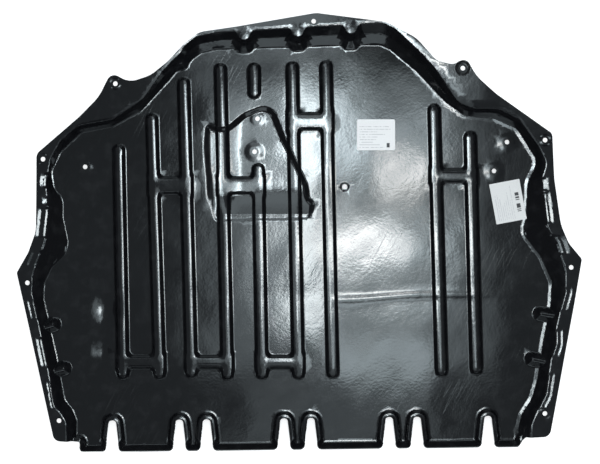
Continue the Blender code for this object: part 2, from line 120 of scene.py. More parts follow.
def joined(first: np.ndarray, second: np.ndarray, width: float) -> np.ndarray:
    """Joins two forms that rise from one floor, rounding the corner where they meet.

    Args:
        first: height of one form over the floor, 0 or more.
        second: height of the other form.
        width: the widest rounding, which shrinks where either form fades out.

    Returns:
        The height of both together.
    """
    room = np.clip(2.0 * np.minimum(first, second), LEAST_HEIGHT, width)
    near = np.maximum(room - np.abs(first - second), 0.0)
    return np.maximum(first, second) + near * near / (4.0 * room)


def folded(depth: np.ndarray, wall: Heights, height: Heights, fold: float) -> np.ndarray:
    """Height of a wall whose folds are rounded over a short, set length.

    Args:
        depth: distance inside the wall's base line, below 0 outside it.
        wall: width of the sloping wall in plan.
        height: height of the wall.
        fold: half the height that each fold takes.

    Returns:
        The height over the floor at each point.
    """
    ramp = height * depth / wall
    zero = np.zeros(len(depth))
    return smooth_min(smooth_max(ramp, zero, fold), zero + height, fold)


def lip_height(depth: np.ndarray, slope: np.ndarray, width: float) -> np.ndarray:
    """Height of the gentle lip that leads up to a wall, full from the wall's base line inwards."""
    return slope * np.clip(depth + width, 0.0, width)


def path_distance(points: np.ndarray, path: np.ndarray, closed: bool = True) -> np.ndarray:
    """Shortest distance from each point to a path.

    Args:
        points: N by 2 places.
        path: M by 2 corners of the path.
        closed: whether the path's last corner joins its first.

    Returns:
        N distances.
    """
    start = path if closed else path[:-1]
    end = np.roll(path, -1, axis=0) if closed else path[1:]
    along = end - start
    squared = np.maximum((along**2).sum(axis=1), LEAST_SQUARE)
    found = np.empty(len(points))
    for first in range(0, len(points), BATCH):
        gap_x = points[first : first + BATCH, 0, None] - start[:, 0]
        gap_y = points[first : first + BATCH, 1, None] - start[:, 1]
        share = np.clip((gap_x * along[:, 0] + gap_y * along[:, 1]) / squared, 0.0, 1.0)
        gap_x -= share * along[:, 0]
        gap_y -= share * along[:, 1]
        found[first : first + BATCH] = np.sqrt((gap_x * gap_x + gap_y * gap_y).min(axis=1))
    return found


def is_inside(points: np.ndarray, loop: np.ndarray) -> np.ndarray:
    """Which of the points lie inside a closed loop.

    Args:
        points: N by 2 places.
        loop: M by 2 corners of the loop.

    Returns:
        N true or false values.
    """
    start_x, start_y = loop.T
    end_x, end_y = np.roll(loop, -1, axis=0).T
    rise = np.where(end_y == start_y, 1.0, end_y - start_y)
    inside = np.empty(len(points), bool)
    for first in range(0, len(points), BATCH):
        x = points[first : first + BATCH, 0, None]
        y = points[first : first + BATCH, 1, None]
        crosses = (start_y > y) != (end_y > y)
        crossing_x = start_x + (y - start_y) * (end_x - start_x) / rise
        inside[first : first + BATCH] = (crosses & (x < crossing_x)).sum(axis=1) % 2 == 1
    return inside


def on_part(
    chosen: np.ndarray,
    points: np.ndarray,
    measure: Callable[[np.ndarray], np.ndarray],
    elsewhere: float,
) -> np.ndarray:
    """Measures only some of the points.

    Args:
        chosen: N true or false values.
        points: N by 2 places.
        measure: what gives a value for each of some places.
        elsewhere: the value of the points that aren't chosen.

    Returns:
        N values.
    """
    values = np.full(len(points), elsewhere)
    if chosen.any():
        values[chosen] = measure(points[chosen])
    return values


def signed_depth(points: np.ndarray, loop: np.ndarray) -> np.ndarray:
    """How far each point lies inside a closed loop, below 0 where it lies outside."""
    distance = path_distance(points, loop)
    return np.where(is_inside(points, loop), distance, -distance)


def round_vertices(bm: bmesh.types.BMesh, corners: Sequence[Corner], step: float) -> None:
    """Makes one flat face of corners and bevels each corner to its own radius.

    Args:
        bm: the empty mesh that gets the face.
        corners: x, y and radius of each corner, in order.
        step: the largest turn between two points of an arc, in radians.
    """
    verts = [bm.verts.new((x, y, 0.0)) for x, y, _ in corners]
    bm.faces.new(verts)
    jobs = []
    for index, (vert, corner) in enumerate(zip(verts, corners)):
        arriving = vert.co - verts[index - 1].co
        leaving = verts[(index + 1) % len(verts)].co - vert.co
        turn = arriving.angle(leaving)
        room = CORNER_ROOM * min(arriving.length, leaving.length)
        reach = min(corner[2] * math.tan(turn / 2.0), room)
        if reach > LEAST_ROUND:
            jobs.append((vert, reach, max(2, math.ceil(turn / step))))
    for vert, reach, segments in jobs:
        bmesh.ops.bevel(
            bm,
            geom=[vert],
            offset=reach,
            offset_type="OFFSET",
            affect="VERTICES",
            segments=segments,
            profile=0.5,
            clamp_overlap=False,
            material=-1,
        )


def rounded_loop(corners: Sequence[Corner], step: float = math.radians(9.0)) -> np.ndarray:
    """The points of a closed loop whose corners are rounded.

    Args:
        corners: x, y and radius of each corner, in order.
        step: the largest turn between two points of an arc, in radians.

    Returns:
        N by 2 places along the loop.
    """
    bm = bmesh.new()
    round_vertices(bm, corners, step)
    bm.faces.ensure_lookup_table()
    loop = np.array([tuple(vert.co.xy) for vert in bm.faces[0].verts])
    bm.free()
    return loop


@dataclass(frozen=True)
class Fade:
    """A smooth change from 0 to 1 along one axis, over a length that is below 0 to run backwards."""

    start: float
    length: float

    def at(self, place: np.ndarray) -> np.ndarray:
        """How far the change has come."""
        return smooth_step((place - self.start) / self.length)


@dataclass(frozen=True)
class Hole:
    """A round fixing hole, and how far its flat seat lies under the sheet round it."""

    x: float
    y: float
    sink: float = 0.0
    radius: float = 4.0
    seat: float = 6.5
    outer: float = 11.0


@dataclass(frozen=True)
class Dent:
    """A soft hollow that the sheet has taken."""

    x: float
    y: float
    depth: float
    length_x: float
    length_y: float


@dataclass(frozen=True)
class Ledge:
    """A stretch of the side flange that falls to the wall's top in two gentle steps."""

    side: int
    front: float
    rear: float
    width: float = 13.5
    step: float = 4.5


@dataclass(frozen=True)
class Rib:
    """A long rib pressed up into the floor, from its front end to its rear end."""

    front: Place
    rear: Place

    @property
    def slope(self) -> float:
        """How far the rib moves along x for each millimetre of y."""
        return (self.rear[0] - self.front[0]) / (self.rear[1] - self.front[1])

    def x_at(self, y: float) -> float:
        """Where the rib's centre line crosses a given y."""
        return self.front[0] + self.slope * (y - self.front[1])


@dataclass(frozen=True)
class Bar:
    """A crossbar between two ribs, by the ribs' places in the list."""

    first: int
    second: int
    y: float
    half_base: float


RIBS = (
    Rib((-306.0, 151.0), (-298.0, -247.0)),
    Rib((-250.0, 203.0), (-236.0, -247.0)),
    Rib((-196.0, 264.0), (-182.0, -245.0)),
    Rib((-133.5, 288.0), (-121.0, -248.0)),
    Rib((-76.5, 289.0), (-76.0, 228.0)),
    Rib((-69.5, 119.0), (-62.5, -247.0)),
    Rib((-12.0, 291.0), (-1.0, -247.0)),
    Rib((45.0, 293.0), (57.0, -245.0)),
    Rib((228.0, 219.0), (241.0, -242.0)),
    Rib((289.0, 173.0), (300.0, -239.0)),
)
SHORT_RIB = 4
BARS = (
    Bar(1, 2, 81.5, 15.0),
    Bar(3, 5, 81.5, 15.0),
    Bar(6, 7, 190.0, 15.0),
    Bar(8, 9, 98.0, 12.0),
    Bar(0, 1, -217.5, 12.0),
    Bar(2, 3, -217.5, 12.0),
    Bar(5, 6, -217.5, 12.0),
)
STIFFENERS = (
    Rib((397.0, -134.0), (437.0, -140.0)),
    Rib((383.0, -210.0), (427.0, -219.0)),
    Rib((-405.0, -151.0), (-441.0, -161.0)),
    Rib((-387.0, -225.0), (-424.0, -235.0)),
)
FLANGE_HOLES = (
    Hole(-308.0, 251.0),
    Hole(24.0, 355.0),
    Hole(274.0, 277.0, sink=3.0, seat=8.0, outer=13.0),
    Hole(413.0, 157.0),
    Hole(457.5, -57.0),
    Hole(412.0, -302.0),
    Hole(-403.0, -314.0),
    Hole(-457.5, -83.0),
    Hole(-431.0, 125.0),
)
FLOOR_HOLES = (
    Hole(-363.0, 113.0, sink=-0.3, outer=13.0),
    Hole(-76.0, 139.0, sink=-0.5, outer=20.0),
    Hole(-71.0, 195.0, sink=-0.25, outer=15.0),
    Hole(77.0, 79.0, sink=0.5, seat=4.8, outer=9.0),
    Hole(330.0, 106.0, sink=-0.6, outer=20.0),
    Hole(352.0, 155.0, sink=-0.6, outer=19.0),
)
DENTS = (
    Dent(-326.0, -128.0, 2.6, 13.0, 19.0),
    Dent(-331.0, -196.0, 2.2, 11.0, 12.0),
    Dent(-392.0, -196.0, 0.5, 16.0, 18.0),
)
LEDGES = (
    Ledge(1, 93.0, 73.0, width=5.5, step=5.5),
    Ledge(1, 69.0, 18.0, width=8.0),
    Ledge(1, -3.0, -34.0, width=11.0, step=6.0),
    Ledge(1, -92.0, -130.0, width=9.5, step=3.0),
    Ledge(1, -163.0, -206.0, width=9.0, step=3.0),
    Ledge(1, -236.0, -294.0, width=8.0, step=3.0),
    Ledge(-1, 101.0, 78.0, width=6.0, step=5.5),
    Ledge(-1, 61.0, 49.0, width=5.0, step=5.0),
    Ledge(-1, 43.0, -6.0, width=13.0, step=5.5),
    Ledge(-1, -30.0, -54.0, width=12.0, step=4.0),
    Ledge(-1, -112.0, -144.0, width=9.0, step=3.0),
    Ledge(-1, -176.0, -224.0, width=7.0, step=4.5),
    Ledge(-1, -249.0, -294.0, width=5.0, step=2.6),
)
# Corners of the recess: x, y and radius
RECESS_EDGE = (
    (-160, 194, 12), (-130, 174, 20), (-94, 204, 30), (-48, 222, 24), (-25, 164, 60), (14, 84, 40),
    (17, 60, 12), (27, 50, 12), (20, 22, 14), (-144, 18, 10), (-157, 60, 60), (-164, 150, 60),
)
# Corners of the rim wall's base and top: from the left-hand rear to the buttresses, and on to the right
WALL_BASE_LEFT = (
    (-377, -317), (-384, -299), (-398, -282), (-409, -223), (-426, -146), (-434, -112), (-433, -84),
    (-420, -56), (-397, -34), (-393, -16), (-402, 28), (-402, 60), (-416, 74), (-421, 104),
    (-405, 138), (-370, 170), (-318, 180), (-268, 208), (-219, 262), (-206, 278), (-191, 277),
    (-186, 292), (-166, 307), (-138, 313),
)
WALL_BASE_RIGHT = (
    (136, 321), (156, 312), (202, 273), (248, 223), (280, 200), (330, 196), (369, 178), (403, 124),
    (398, 107), (388, 88), (387, 60), (385, 24), (379, 2), (410, -38), (429, -82), (427, -118),
    (414, -181), (403, -250), (394, -280), (377, -306), (371, -331),
)
WALL_TOP_LEFT = (
    (-390, -317), (-397, -304), (-410, -290), (-422, -223), (-439, -144), (-449, -100), (-448, -68),
    (-434, -34), (-426, -8), (-421, 36), (-424, 66), (-425, 90), (-417, 128), (-402, 154),
    (-370, 182), (-312, 192), (-262, 225), (-230, 270), (-212, 290), (-197, 303), (-194, 312),
    (-172, 330), (-138, 337),
)
WALL_TOP_RIGHT = (
    (138, 353), (160, 343), (205, 301), (227, 277), (266, 220), (290, 211), (334, 210), (368, 193),
    (402, 146), (416, 118), (407, 92), (412, 50), (417, 10), (434, -18), (447, -62), (447, -98),
    (438, -130), (431, -160), (431, -186), (422, -212), (418, -238), (413, -270), (399, -297),
    (388, -322),
)
# Corners of the outline from the left-hand front to the right-hand rear: x, y and radius
OUTLINE_FRONT = (
    (-442, 134, 14), (-369, 196, 80), (-336, 229, 60), (-315, 270, 13), (-285, 253, 30),
    (-249, 265, 40), (-220, 288, 60), (-192, 318, 40), (-168, 337, 30), (-106, 346, 80),
    (28, 369, 24), (145, 354, 40), (196, 327, 40), (230, 289, 18), (256, 283, 16), (281, 291, 12),
    (296, 264, 60), (330, 234, 80), (425, 168, 10), (429, 92, 80), (440, 15, 60), (453, -16, 30),
    (475.5, -43, 6), (462, -122, 200), (420, -341, 13),
)
# The same up the left-hand side
OUTLINE_LEFT = (
    (-411, -348, 12), (-475.5, -66, 6), (-456, -32, 30), (-443, 4, 40),
)
# Where the outline steps from the flange to the right-hand and the left-hand finger
REAR_STEPS = ((380, -343, 5), (-369, -351, 5))
BUTTRESSES = (-92.0, -2.0, 87.0)
# Corners of a buttress: shares of its half width, and how far they stand in
BUTTRESS_BASE = ((-1.1, 0.0), (-0.62, 8.0), (0.62, 8.0), (1.1, 0.0))
BUTTRESS_TOP = ((-0.95, 0.0), (-0.5, 15.0), (0.5, 15.0), (0.95, 0.0))
# Slight swells of the floor: height, wave length along x, wave length along y, phase
FLOOR_WAVES = (
    (0.08, 139.0, 910.0, 0.4),
    (0.05, -97.0, 330.0, 1.9),
    (0.04, 211.0, 151.0, 3.1),
    (0.03, -173.0, 117.0, 4.4),
    (0.015, 61.0, 83.0, 0.9),
    (0.012, -53.0, 71.0, 2.6),
)


@dataclass(frozen=True)
class TrayForm:
    """The height of the tray's upper face over its flat floor, as smooth functions of the plan."""

    rim_bend: float = 22.0
    rim_zone: Place = (335.0, 145.0)
    rim_open_y: float = -430.0
    rim_fold: float = 1.3
    rim_knee: float = 0.5
    rim_base_lip: float = 2.4
    rim_top_lip: float = 2.2
    least_wall: float = 0.5
    wall_shares: Place = (-1.2, 4.0)
    right_base_lip: float = 6.0
    right_wall: Fade = Fade(120.0, 190.0)
    front_wall: Fade = Fade(130.0, 90.0)
    front_top_lip: float = 4.2
    front_knee: float = 0.55
    front_knee_height: float = 0.33
    diagonal_x: Fade = Fade(110.0, 50.0)
    diagonal_y: Fade = Fade(190.0, 40.0)
    diagonal_lip: float = 3.6
    diagonal_lip_slope: float = 0.00047
    buttress_half_width: float = 14.0
    buttress_bend: float = 9.0
    buttress_reach: float = 1.3
    buttress_dish: float = 8.0
    flat_dish: float = 0.6
    ear_start: Fade = Fade(170.0, 50.0)
    ear_end: Fade = Fade(300.0, 60.0)
    ear_slope: float = 0.07
    ear_width: float = 12.0
    flat_ear: float = 0.8
    side_height: float = 22.0
    front_rise: float = 18.0
    front_flange: Fade = Fade(80.0, 250.0)
    rear_rise: float = 10.0
    rear_length: float = 260.0
    cap_width: float = 0.8
    ledge_from_x: float = 300.0
    ledge_end: float = 6.0
    lip_slope_per_mm: float = 0.00032
    lip_centre: Place = (18.0, 5.0)
    least_lip_slope: float = 0.03
    most_lip_slope: float = 0.15
    crease_y: float = -103.5
    crease_bend: float = 9.0
    crease_height: float = 0.36
    crease_width: float = 4.4
    crease_shift: float = 8.5
    crease_turn: Fade = Fade(220.0, -150.0)
    crease_start: Fade = Fade(50.0, 20.0)
    crease_end: Fade = Fade(240.0, 180.0)
    crease_loss: float = 0.75
    rear_slope: float = math.tan(math.radians(1.0))
    recess_middle: Place = (-66.0, 120.0)
    recess_reach: Place = (112.0, 122.0)
    recess_depth: float = 6.6
    recess_rear_depth: float = 0.65
    recess_left_depth: float = 1.5
    recess_ramp_start: float = 33.0
    recess_ramp: float = 66.0
    recess_left: Fade = Fade(-168.0, 75.0)
    recess_rear: Fade = Fade(32.0, 24.0)
    recess_front: Fade = Fade(40.0, 50.0)
    recess_fold: float = 0.3
    recess_wall: float = 7.0
    recess_gentle_wall: float = 13.0
    recess_steepening: float = 2.5
    rib_height: float = 10.0
    rib_half_base: float = 11.0
    rib_wall: float = 4.4
    rib_fold: float = 1.4
    rib_base_lip: float = 1.6
    rib_join: float = 1.0
    ridge_share: float = 0.6
    bar_inset: float = 2.0
    corner_blend: float = 9.0
    stiffener_height: float = 14.0
    stiffener_half_base: float = 11.5
    stiffener_wall: float = 9.0
    stiffener_fold: float = 4.0
    rear_left: Place = (-370.0, -368.0)
    rear_right: Place = (370.0, -359.0)
    notches: tuple[float, ...] = (-315.0, -202.0, -156.0, -25.5, 20.0, 152.0, 199.0, 318.5)
    notch_depth: float = 52.5
    notch_top: float = 6.0
    notch_mouth: float = 12.0
    finger_radius: float = 6.0
    rear_zone: float = -285.0
    rear_wall_height: float = 12.0
    rear_wall_land: float = 6.4
    rear_wall_width: float = 3.8
    rear_wall_lip: float = 3.2
    rear_wall_fold: float = 1.6
    collar_slope: float = 0.3
    finger_tip: Fade = Fade(-344.0, -10.0)
    finger_land: float = 0.8
    finger_wall: float = 8.6
    join: float = 3.0
    normal_step: float = 0.25

    def __post_init__(self) -> None:
        """Works out the rounded lines that the heights are measured from."""
        keep = object.__setattr__
        keep(self, "outline_corners", self._outline_corners())
        keep(self, "outline", rounded_loop(self.outline_corners))
        keep(self, "rear_edge", self._rear_edge())
        keep(self, "wall_base", self._rim_line(WALL_BASE_LEFT, WALL_BASE_RIGHT, BUTTRESS_BASE))
        keep(self, "wall_top", self._rim_line(WALL_TOP_LEFT, WALL_TOP_RIGHT, BUTTRESS_TOP))
        keep(self, "recess", rounded_loop(RECESS_EDGE))

    def _outline_corners(self) -> list[Corner]:
        """Every corner of the outline, clockwise from the left-hand front corner."""
        slope = (self.rear_right[1] - self.rear_left[1]) / (self.rear_right[0] - self.rear_left[0])
        corners: list[Corner] = [*OUTLINE_FRONT, REAR_STEPS[0]]
        corners.append((*self.rear_right, self.finger_radius))
        for centre in reversed(self.notches):
            bottom = self.rear_left[1] + slope * (centre - self.rear_left[0])
            top = bottom + self.notch_depth
            corners.append((centre + self.notch_mouth, bottom, self.finger_radius))
            corners.append((centre + self.notch_top, top, self.notch_top))
            corners.append((centre - self.notch_top, top, self.notch_top))
            corners.append((centre - self.notch_mouth, bottom, self.finger_radius))
        corners.append((*self.rear_left, self.finger_radius))
        return corners + [REAR_STEPS[1], *OUTLINE_LEFT]

    def _rear_edge(self) -> np.ndarray:
        """The notched part of the outline, from the right-hand rear corner to the left-hand one."""
        start = OUTLINE_FRONT[-1][:2]
        end = OUTLINE_LEFT[0][:2]
        first, last = (np.hypot(*(self.outline - place).T).argmin() for place in (start, end))
        loop = np.roll(self.outline, -first, axis=0)
        return loop[: (last - first) % len(loop) + 1]

    def _rim_line(
        self, left: Sequence[Place], right: Sequence[Place], buttress: Sequence[Place]
    ) -> np.ndarray:
        """One closed line of the rim wall, open past the rear edge.

        Args:
            left: its places from the left-hand rear to the buttresses.
            right: its places from the buttresses to the right-hand rear.
            buttress: corners of a buttress, as shares of its half width and how far they stand in.

        Returns:
            N by 2 places along the line.
        """
        corners = [(x, y, self.rim_bend) for x, y in left]
        start, end = left[-1], right[0]
        slope = (end[1] - start[1]) / (end[0] - start[0])
        for centre in BUTTRESSES:
            for share, inset in buttress:
                x = centre + share * self.buttress_half_width
                corners.append((x, start[1] + slope * (x - start[0]) - inset, self.buttress_bend))
        corners += [(x, y, self.rim_bend) for x, y in right]
        corners += [(x, self.rim_open_y, 1.0) for x in (right[-1][0], left[0][0])]
        return rounded_loop(corners)

    def floor(self, points: np.ndarray) -> np.ndarray:
        """Height of the floor, with its crease, its recess, its dents and its slight swells."""
        x, y = points.T
        height = self.rear_slope * smooth_max(self.crease_y - y, np.zeros(len(y)), self.crease_bend)
        for wave, length_x, length_y, phase in FLOOR_WAVES:
            height += wave * np.sin(math.tau * (x / length_x + y / length_y) + phase)
        for dent in DENTS:
            squared = ((x - dent.x) / dent.length_x) ** 2 + ((y - dent.y) / dent.length_y) ** 2
            height -= dent.depth * np.exp(-squared / 2.0)
        return height + self.crease(x, y) - self.recess_drop(points)

    def crease(self, x: np.ndarray, y: np.ndarray) -> np.ndarray:
        """Height of the low ridge that the sheet folds along, to the right of the middle ribs."""
        line = self.crease_y - self.crease_shift * self.crease_turn.at(x)
        strength = self.crease_start.at(x) * (1.0 - self.crease_loss * self.crease_end.at(x))
        return self.crease_height * strength * np.exp(-(((y - line) / self.crease_width) ** 2) / 2.0)

    def recess_drop(self, points: np.ndarray) -> np.ndarray:
        """How far the recess lies under the floor: shallow at its left and rear, deep elsewhere."""
        y = points[:, 1]
        near = (np.abs(points - self.recess_middle) < self.recess_reach).all(axis=1)
        inside = on_part(near, points, lambda part: signed_depth(part, self.recess), -FAR)
        fall = np.clip((y - self.recess_ramp_start) / self.recess_ramp, 0.0, 1.0)
        deep = self.recess_left.at(points[:, 0]) * fall * (2.0 - fall)
        steep = folded(inside, self.recess_wall, 1.0, self.recess_fold)
        width = mix(self.recess_gentle_wall, self.recess_wall, 1.0 - self.recess_rear.at(y))
        gentle = smooth_step(inside / width)
        shallow = self.recess_left_depth * self.recess_front.at(y) + self.recess_rear_depth
        share = np.minimum(deep * self.recess_steepening, 1.0)
        edge = share * steep + (1.0 - share) * gentle
        return edge * mix(shallow, self.recess_depth, deep)

    def lip_slope(self, points: np.ndarray) -> np.ndarray:
        """Slope of the lips that run along every fold, steeper the further the sheet was drawn."""
        reach = np.hypot(points[:, 0] - self.lip_centre[0], points[:, 1] - self.lip_centre[1])
        return np.clip(reach * self.lip_slope_per_mm, self.least_lip_slope, self.most_lip_slope)

    def flange(self, points: np.ndarray) -> np.ndarray:
        """Height of the flange: level along the sides, higher at the front and at the rear."""
        y = points[:, 1]
        rear = Fade(self.crease_y, -self.rear_length).at(y)
        return self.side_height + self.front_rise * self.front_flange.at(y) + self.rear_rise * rear

    def ledge(self, points: np.ndarray, outside: np.ndarray) -> np.ndarray:
        """How far the flange lies lower in its ledges.

        Args:
            points: N by 2 places in plan.
            outside: N distances outside the wall's top line.

        Returns:
            N depths.
        """
        x, y = points.T
        drop = np.zeros(len(x))
        slope = self.lip_slope(points)
        for ledge in LEDGES:
            ends = np.minimum(ledge.front - y, y - ledge.rear) / self.ledge_end
            share = smooth_step(ends + 0.5) * (x * ledge.side > self.ledge_from_x)
            for start in (0.0, ledge.width):
                drop += share * slope * (ledge.step - np.clip(outside - start, 0.0, ledge.step))
        return drop

    def rim(self, points: np.ndarray, floor: np.ndarray) -> np.ndarray:
        """How far the rim stands over the floor.

        Args:
            points: N by 2 places in plan.
            floor: N heights of the floor.

        Returns:
            N heights over the floor.
        """
        x, y = points.T
        near = (np.abs(x) > self.rim_zone[0]) | (y > self.rim_zone[1])
        past_base = -on_part(near, points, lambda part: signed_depth(part, self.wall_base), FAR)
        before_top = on_part(near, points, lambda part: signed_depth(part, self.wall_top), FAR)
        width = np.maximum(past_base + before_top, self.least_wall)
        share = np.clip(past_base / width, *self.wall_shares)
        front = self.front_wall.at(y)
        ear = self.ear_start.at(x) * (1.0 - self.ear_end.at(x))
        diagonal = self.diagonal_x.at(x) * self.diagonal_y.at(y)
        dish = np.zeros(len(x))
        for centre in BUTTRESSES:
            near_by = self.buttress_reach - np.abs(x - centre) / self.buttress_half_width
            dish += front * smooth_step(near_by)
        level = self.flange(points) - self.ledge(points, -before_top)
        level += self.ear_slope * ear * np.clip(-before_top, 0.0, self.ear_width)
        highest = np.full(len(x), self.side_height + self.front_rise)
        level = smooth_min(level, highest, self.cap_width)
        slope = self.lip_slope(points)
        top_lip = mix(self.rim_top_lip, self.front_top_lip, front)
        top_lip += self.buttress_dish * dish + self.diagonal_lip * diagonal
        top_slope = mix(slope, self.diagonal_lip_slope * (x - self.lip_centre[0]), diagonal)
        top_slope *= (1.0 - self.flat_ear * ear) * (1.0 - self.flat_dish * dish)
        level -= top_slope * (top_lip - np.clip(-before_top, 0.0, top_lip))
        lip = mix(self.rim_base_lip, self.right_base_lip, self.right_wall.at(x))
        rise = level - floor - slope * lip
        knee = mix(self.rim_knee, self.front_knee, front)
        lower = mix(self.rim_knee, self.front_knee_height, front)
        first = folded(share, knee, lower * rise, self.rim_fold)
        second = folded(share - knee, 1.0 - knee, (1.0 - lower) * rise, self.rim_fold)
        return lip_height(past_base, slope, lip) + first + second

    def bars(self, points: np.ndarray) -> np.ndarray:
        """How far the ribs and crossbars stand over the floor, with the lips along their walls."""
        depth = np.full(len(points), -FAR)
        for rib in RIBS:
            inside = self.capsule(points, rib, self.rib_half_base, self.rib_half_base)
            depth = smooth_max(depth, inside, self.rib_join)
        x, y = points.T
        for bar in BARS:
            left = RIBS[bar.first].x_at(bar.y)
            right = RIBS[bar.second].x_at(bar.y)
            across = bar.half_base - np.abs(y - bar.y)
            between = np.minimum(x - left, right - x) + self.rib_half_base - self.bar_inset
            depth = smooth_max(depth, np.minimum(across, between), self.corner_blend)
        slope = self.lip_slope(points)
        half_top = self.rib_half_base - self.rib_wall
        off_centre = np.clip(self.rib_half_base - depth, 0.0, half_top)
        ridge = self.ridge_share * half_top
        inner = np.minimum(off_centre, ridge)
        crown = half_top - np.maximum(off_centre, ridge) + (ridge * ridge - inner * inner) / (2.0 * ridge)
        lips = slope * (self.rib_base_lip + half_top - ridge / 2.0)
        wall = folded(depth, self.rib_wall, self.rib_height - lips, self.rib_fold)
        return lip_height(depth, slope, self.rib_base_lip) + wall + slope * crown

    def stiffeners(self, points: np.ndarray) -> np.ndarray:
        """How far the short stiffeners of the side walls stand over the floor."""
        depth = np.full(len(points), -FAR)
        for rib in STIFFENERS:
            depth = np.maximum(depth, self.capsule(points, rib, self.stiffener_half_base, 0.0))
        return folded(depth, self.stiffener_wall, self.stiffener_height, self.stiffener_fold)

    @staticmethod
    def capsule(points: np.ndarray, rib: Rib, half_width: float, rear_inset: float) -> np.ndarray:
        """Distance inside a round-ended bar.

        Args:
            points: N by 2 places in plan.
            rib: the bar's ends.
            half_width: half the bar's width.
            rear_inset: how far before its rear end the bar's round end is centred.

        Returns:
            N distances, below 0 outside.
        """
        along = np.array(rib.rear) - np.array(rib.front)
        along /= np.hypot(*along)
        ends = (np.array(rib.front) + along * half_width, np.array(rib.rear) - along * rear_inset)
        return half_width - path_distance(points, np.array(ends), closed=False)

    def rear_wall(self, points: np.ndarray) -> np.ndarray:
        """How far the raised edge of the rear fingers and notches stands over the floor."""
        distance = on_part(
            points[:, 1] < self.rear_zone,
            points,
            lambda part: path_distance(part, self.rear_edge, closed=False),
            FAR,
        )
        slope = self.lip_slope(points)
        tip = self.finger_tip.at(points[:, 1])
        land = mix(self.rear_wall_land, self.finger_land, tip)
        width = mix(self.rear_wall_width, self.finger_wall, tip)
        depth = land + width - distance
        collar = self.collar_slope * (land - np.clip(distance, 0.0, land)) ** 2 / (2.0 * land)
        height = self.rear_wall_height - slope * self.rear_wall_lip - self.collar_slope * land / 2.0
        wall = folded(depth, width, height, self.rear_wall_fold)
        return lip_height(depth, slope, self.rear_wall_lip) + wall + collar

    def upper(self, points: np.ndarray) -> np.ndarray:
        """Height of the tray's upper face.

        Args:
            points: N by 2 places in plan.

        Returns:
            N heights over the flat floor.
        """
        floor = self.floor(points)
        rise = self.bars(points)
        for other in (self.rear_wall(points), self.stiffeners(points), self.rim(points, floor)):
            rise = joined(rise, other, self.join)
        height = floor + rise
        highest = self.side_height + self.front_rise - self.cap_width / 4.0
        for hole in FLANGE_HOLES:
            level = min(float(self.flange(np.array([(hole.x, hole.y)]))[0]), highest) - hole.sink
            height = self.seated(points, height, hole, level)
        for hole in FLOOR_HOLES:
            level = float(self.floor(np.array([(hole.x, hole.y)]))[0]) - hole.sink
            height = self.seated(points, height, hole, level)
        return height

    @staticmethod
    def seated(points: np.ndarray, height: np.ndarray, hole: Hole, level: float) -> np.ndarray:
        """The height with one hole's flat seat pressed in.

        Args:
            points: N by 2 places in plan.
            height: N heights before the seat.
            hole: the hole that the seat surrounds.
            level: height of the seat.

        Returns:
            N heights.
        """
        distance = np.hypot(points[:, 0] - hole.x, points[:, 1] - hole.y)
        share = smooth_step((hole.outer - distance) / (hole.outer - hole.seat))
        return height + (level - height) * share

    def normals(self, points: np.ndarray) -> np.ndarray:
        """Upward unit normals of the upper face, by small steps in plan."""
        step = self.normal_step
        here = self.upper(points)
        right = self.upper(points + (step, 0.0))
        ahead = self.upper(points + (0.0, step))
        slope = np.column_stack(((here - right) / step, (here - ahead) / step, np.ones(len(here))))
        return slope / np.linalg.norm(slope, axis=1)[:, None]


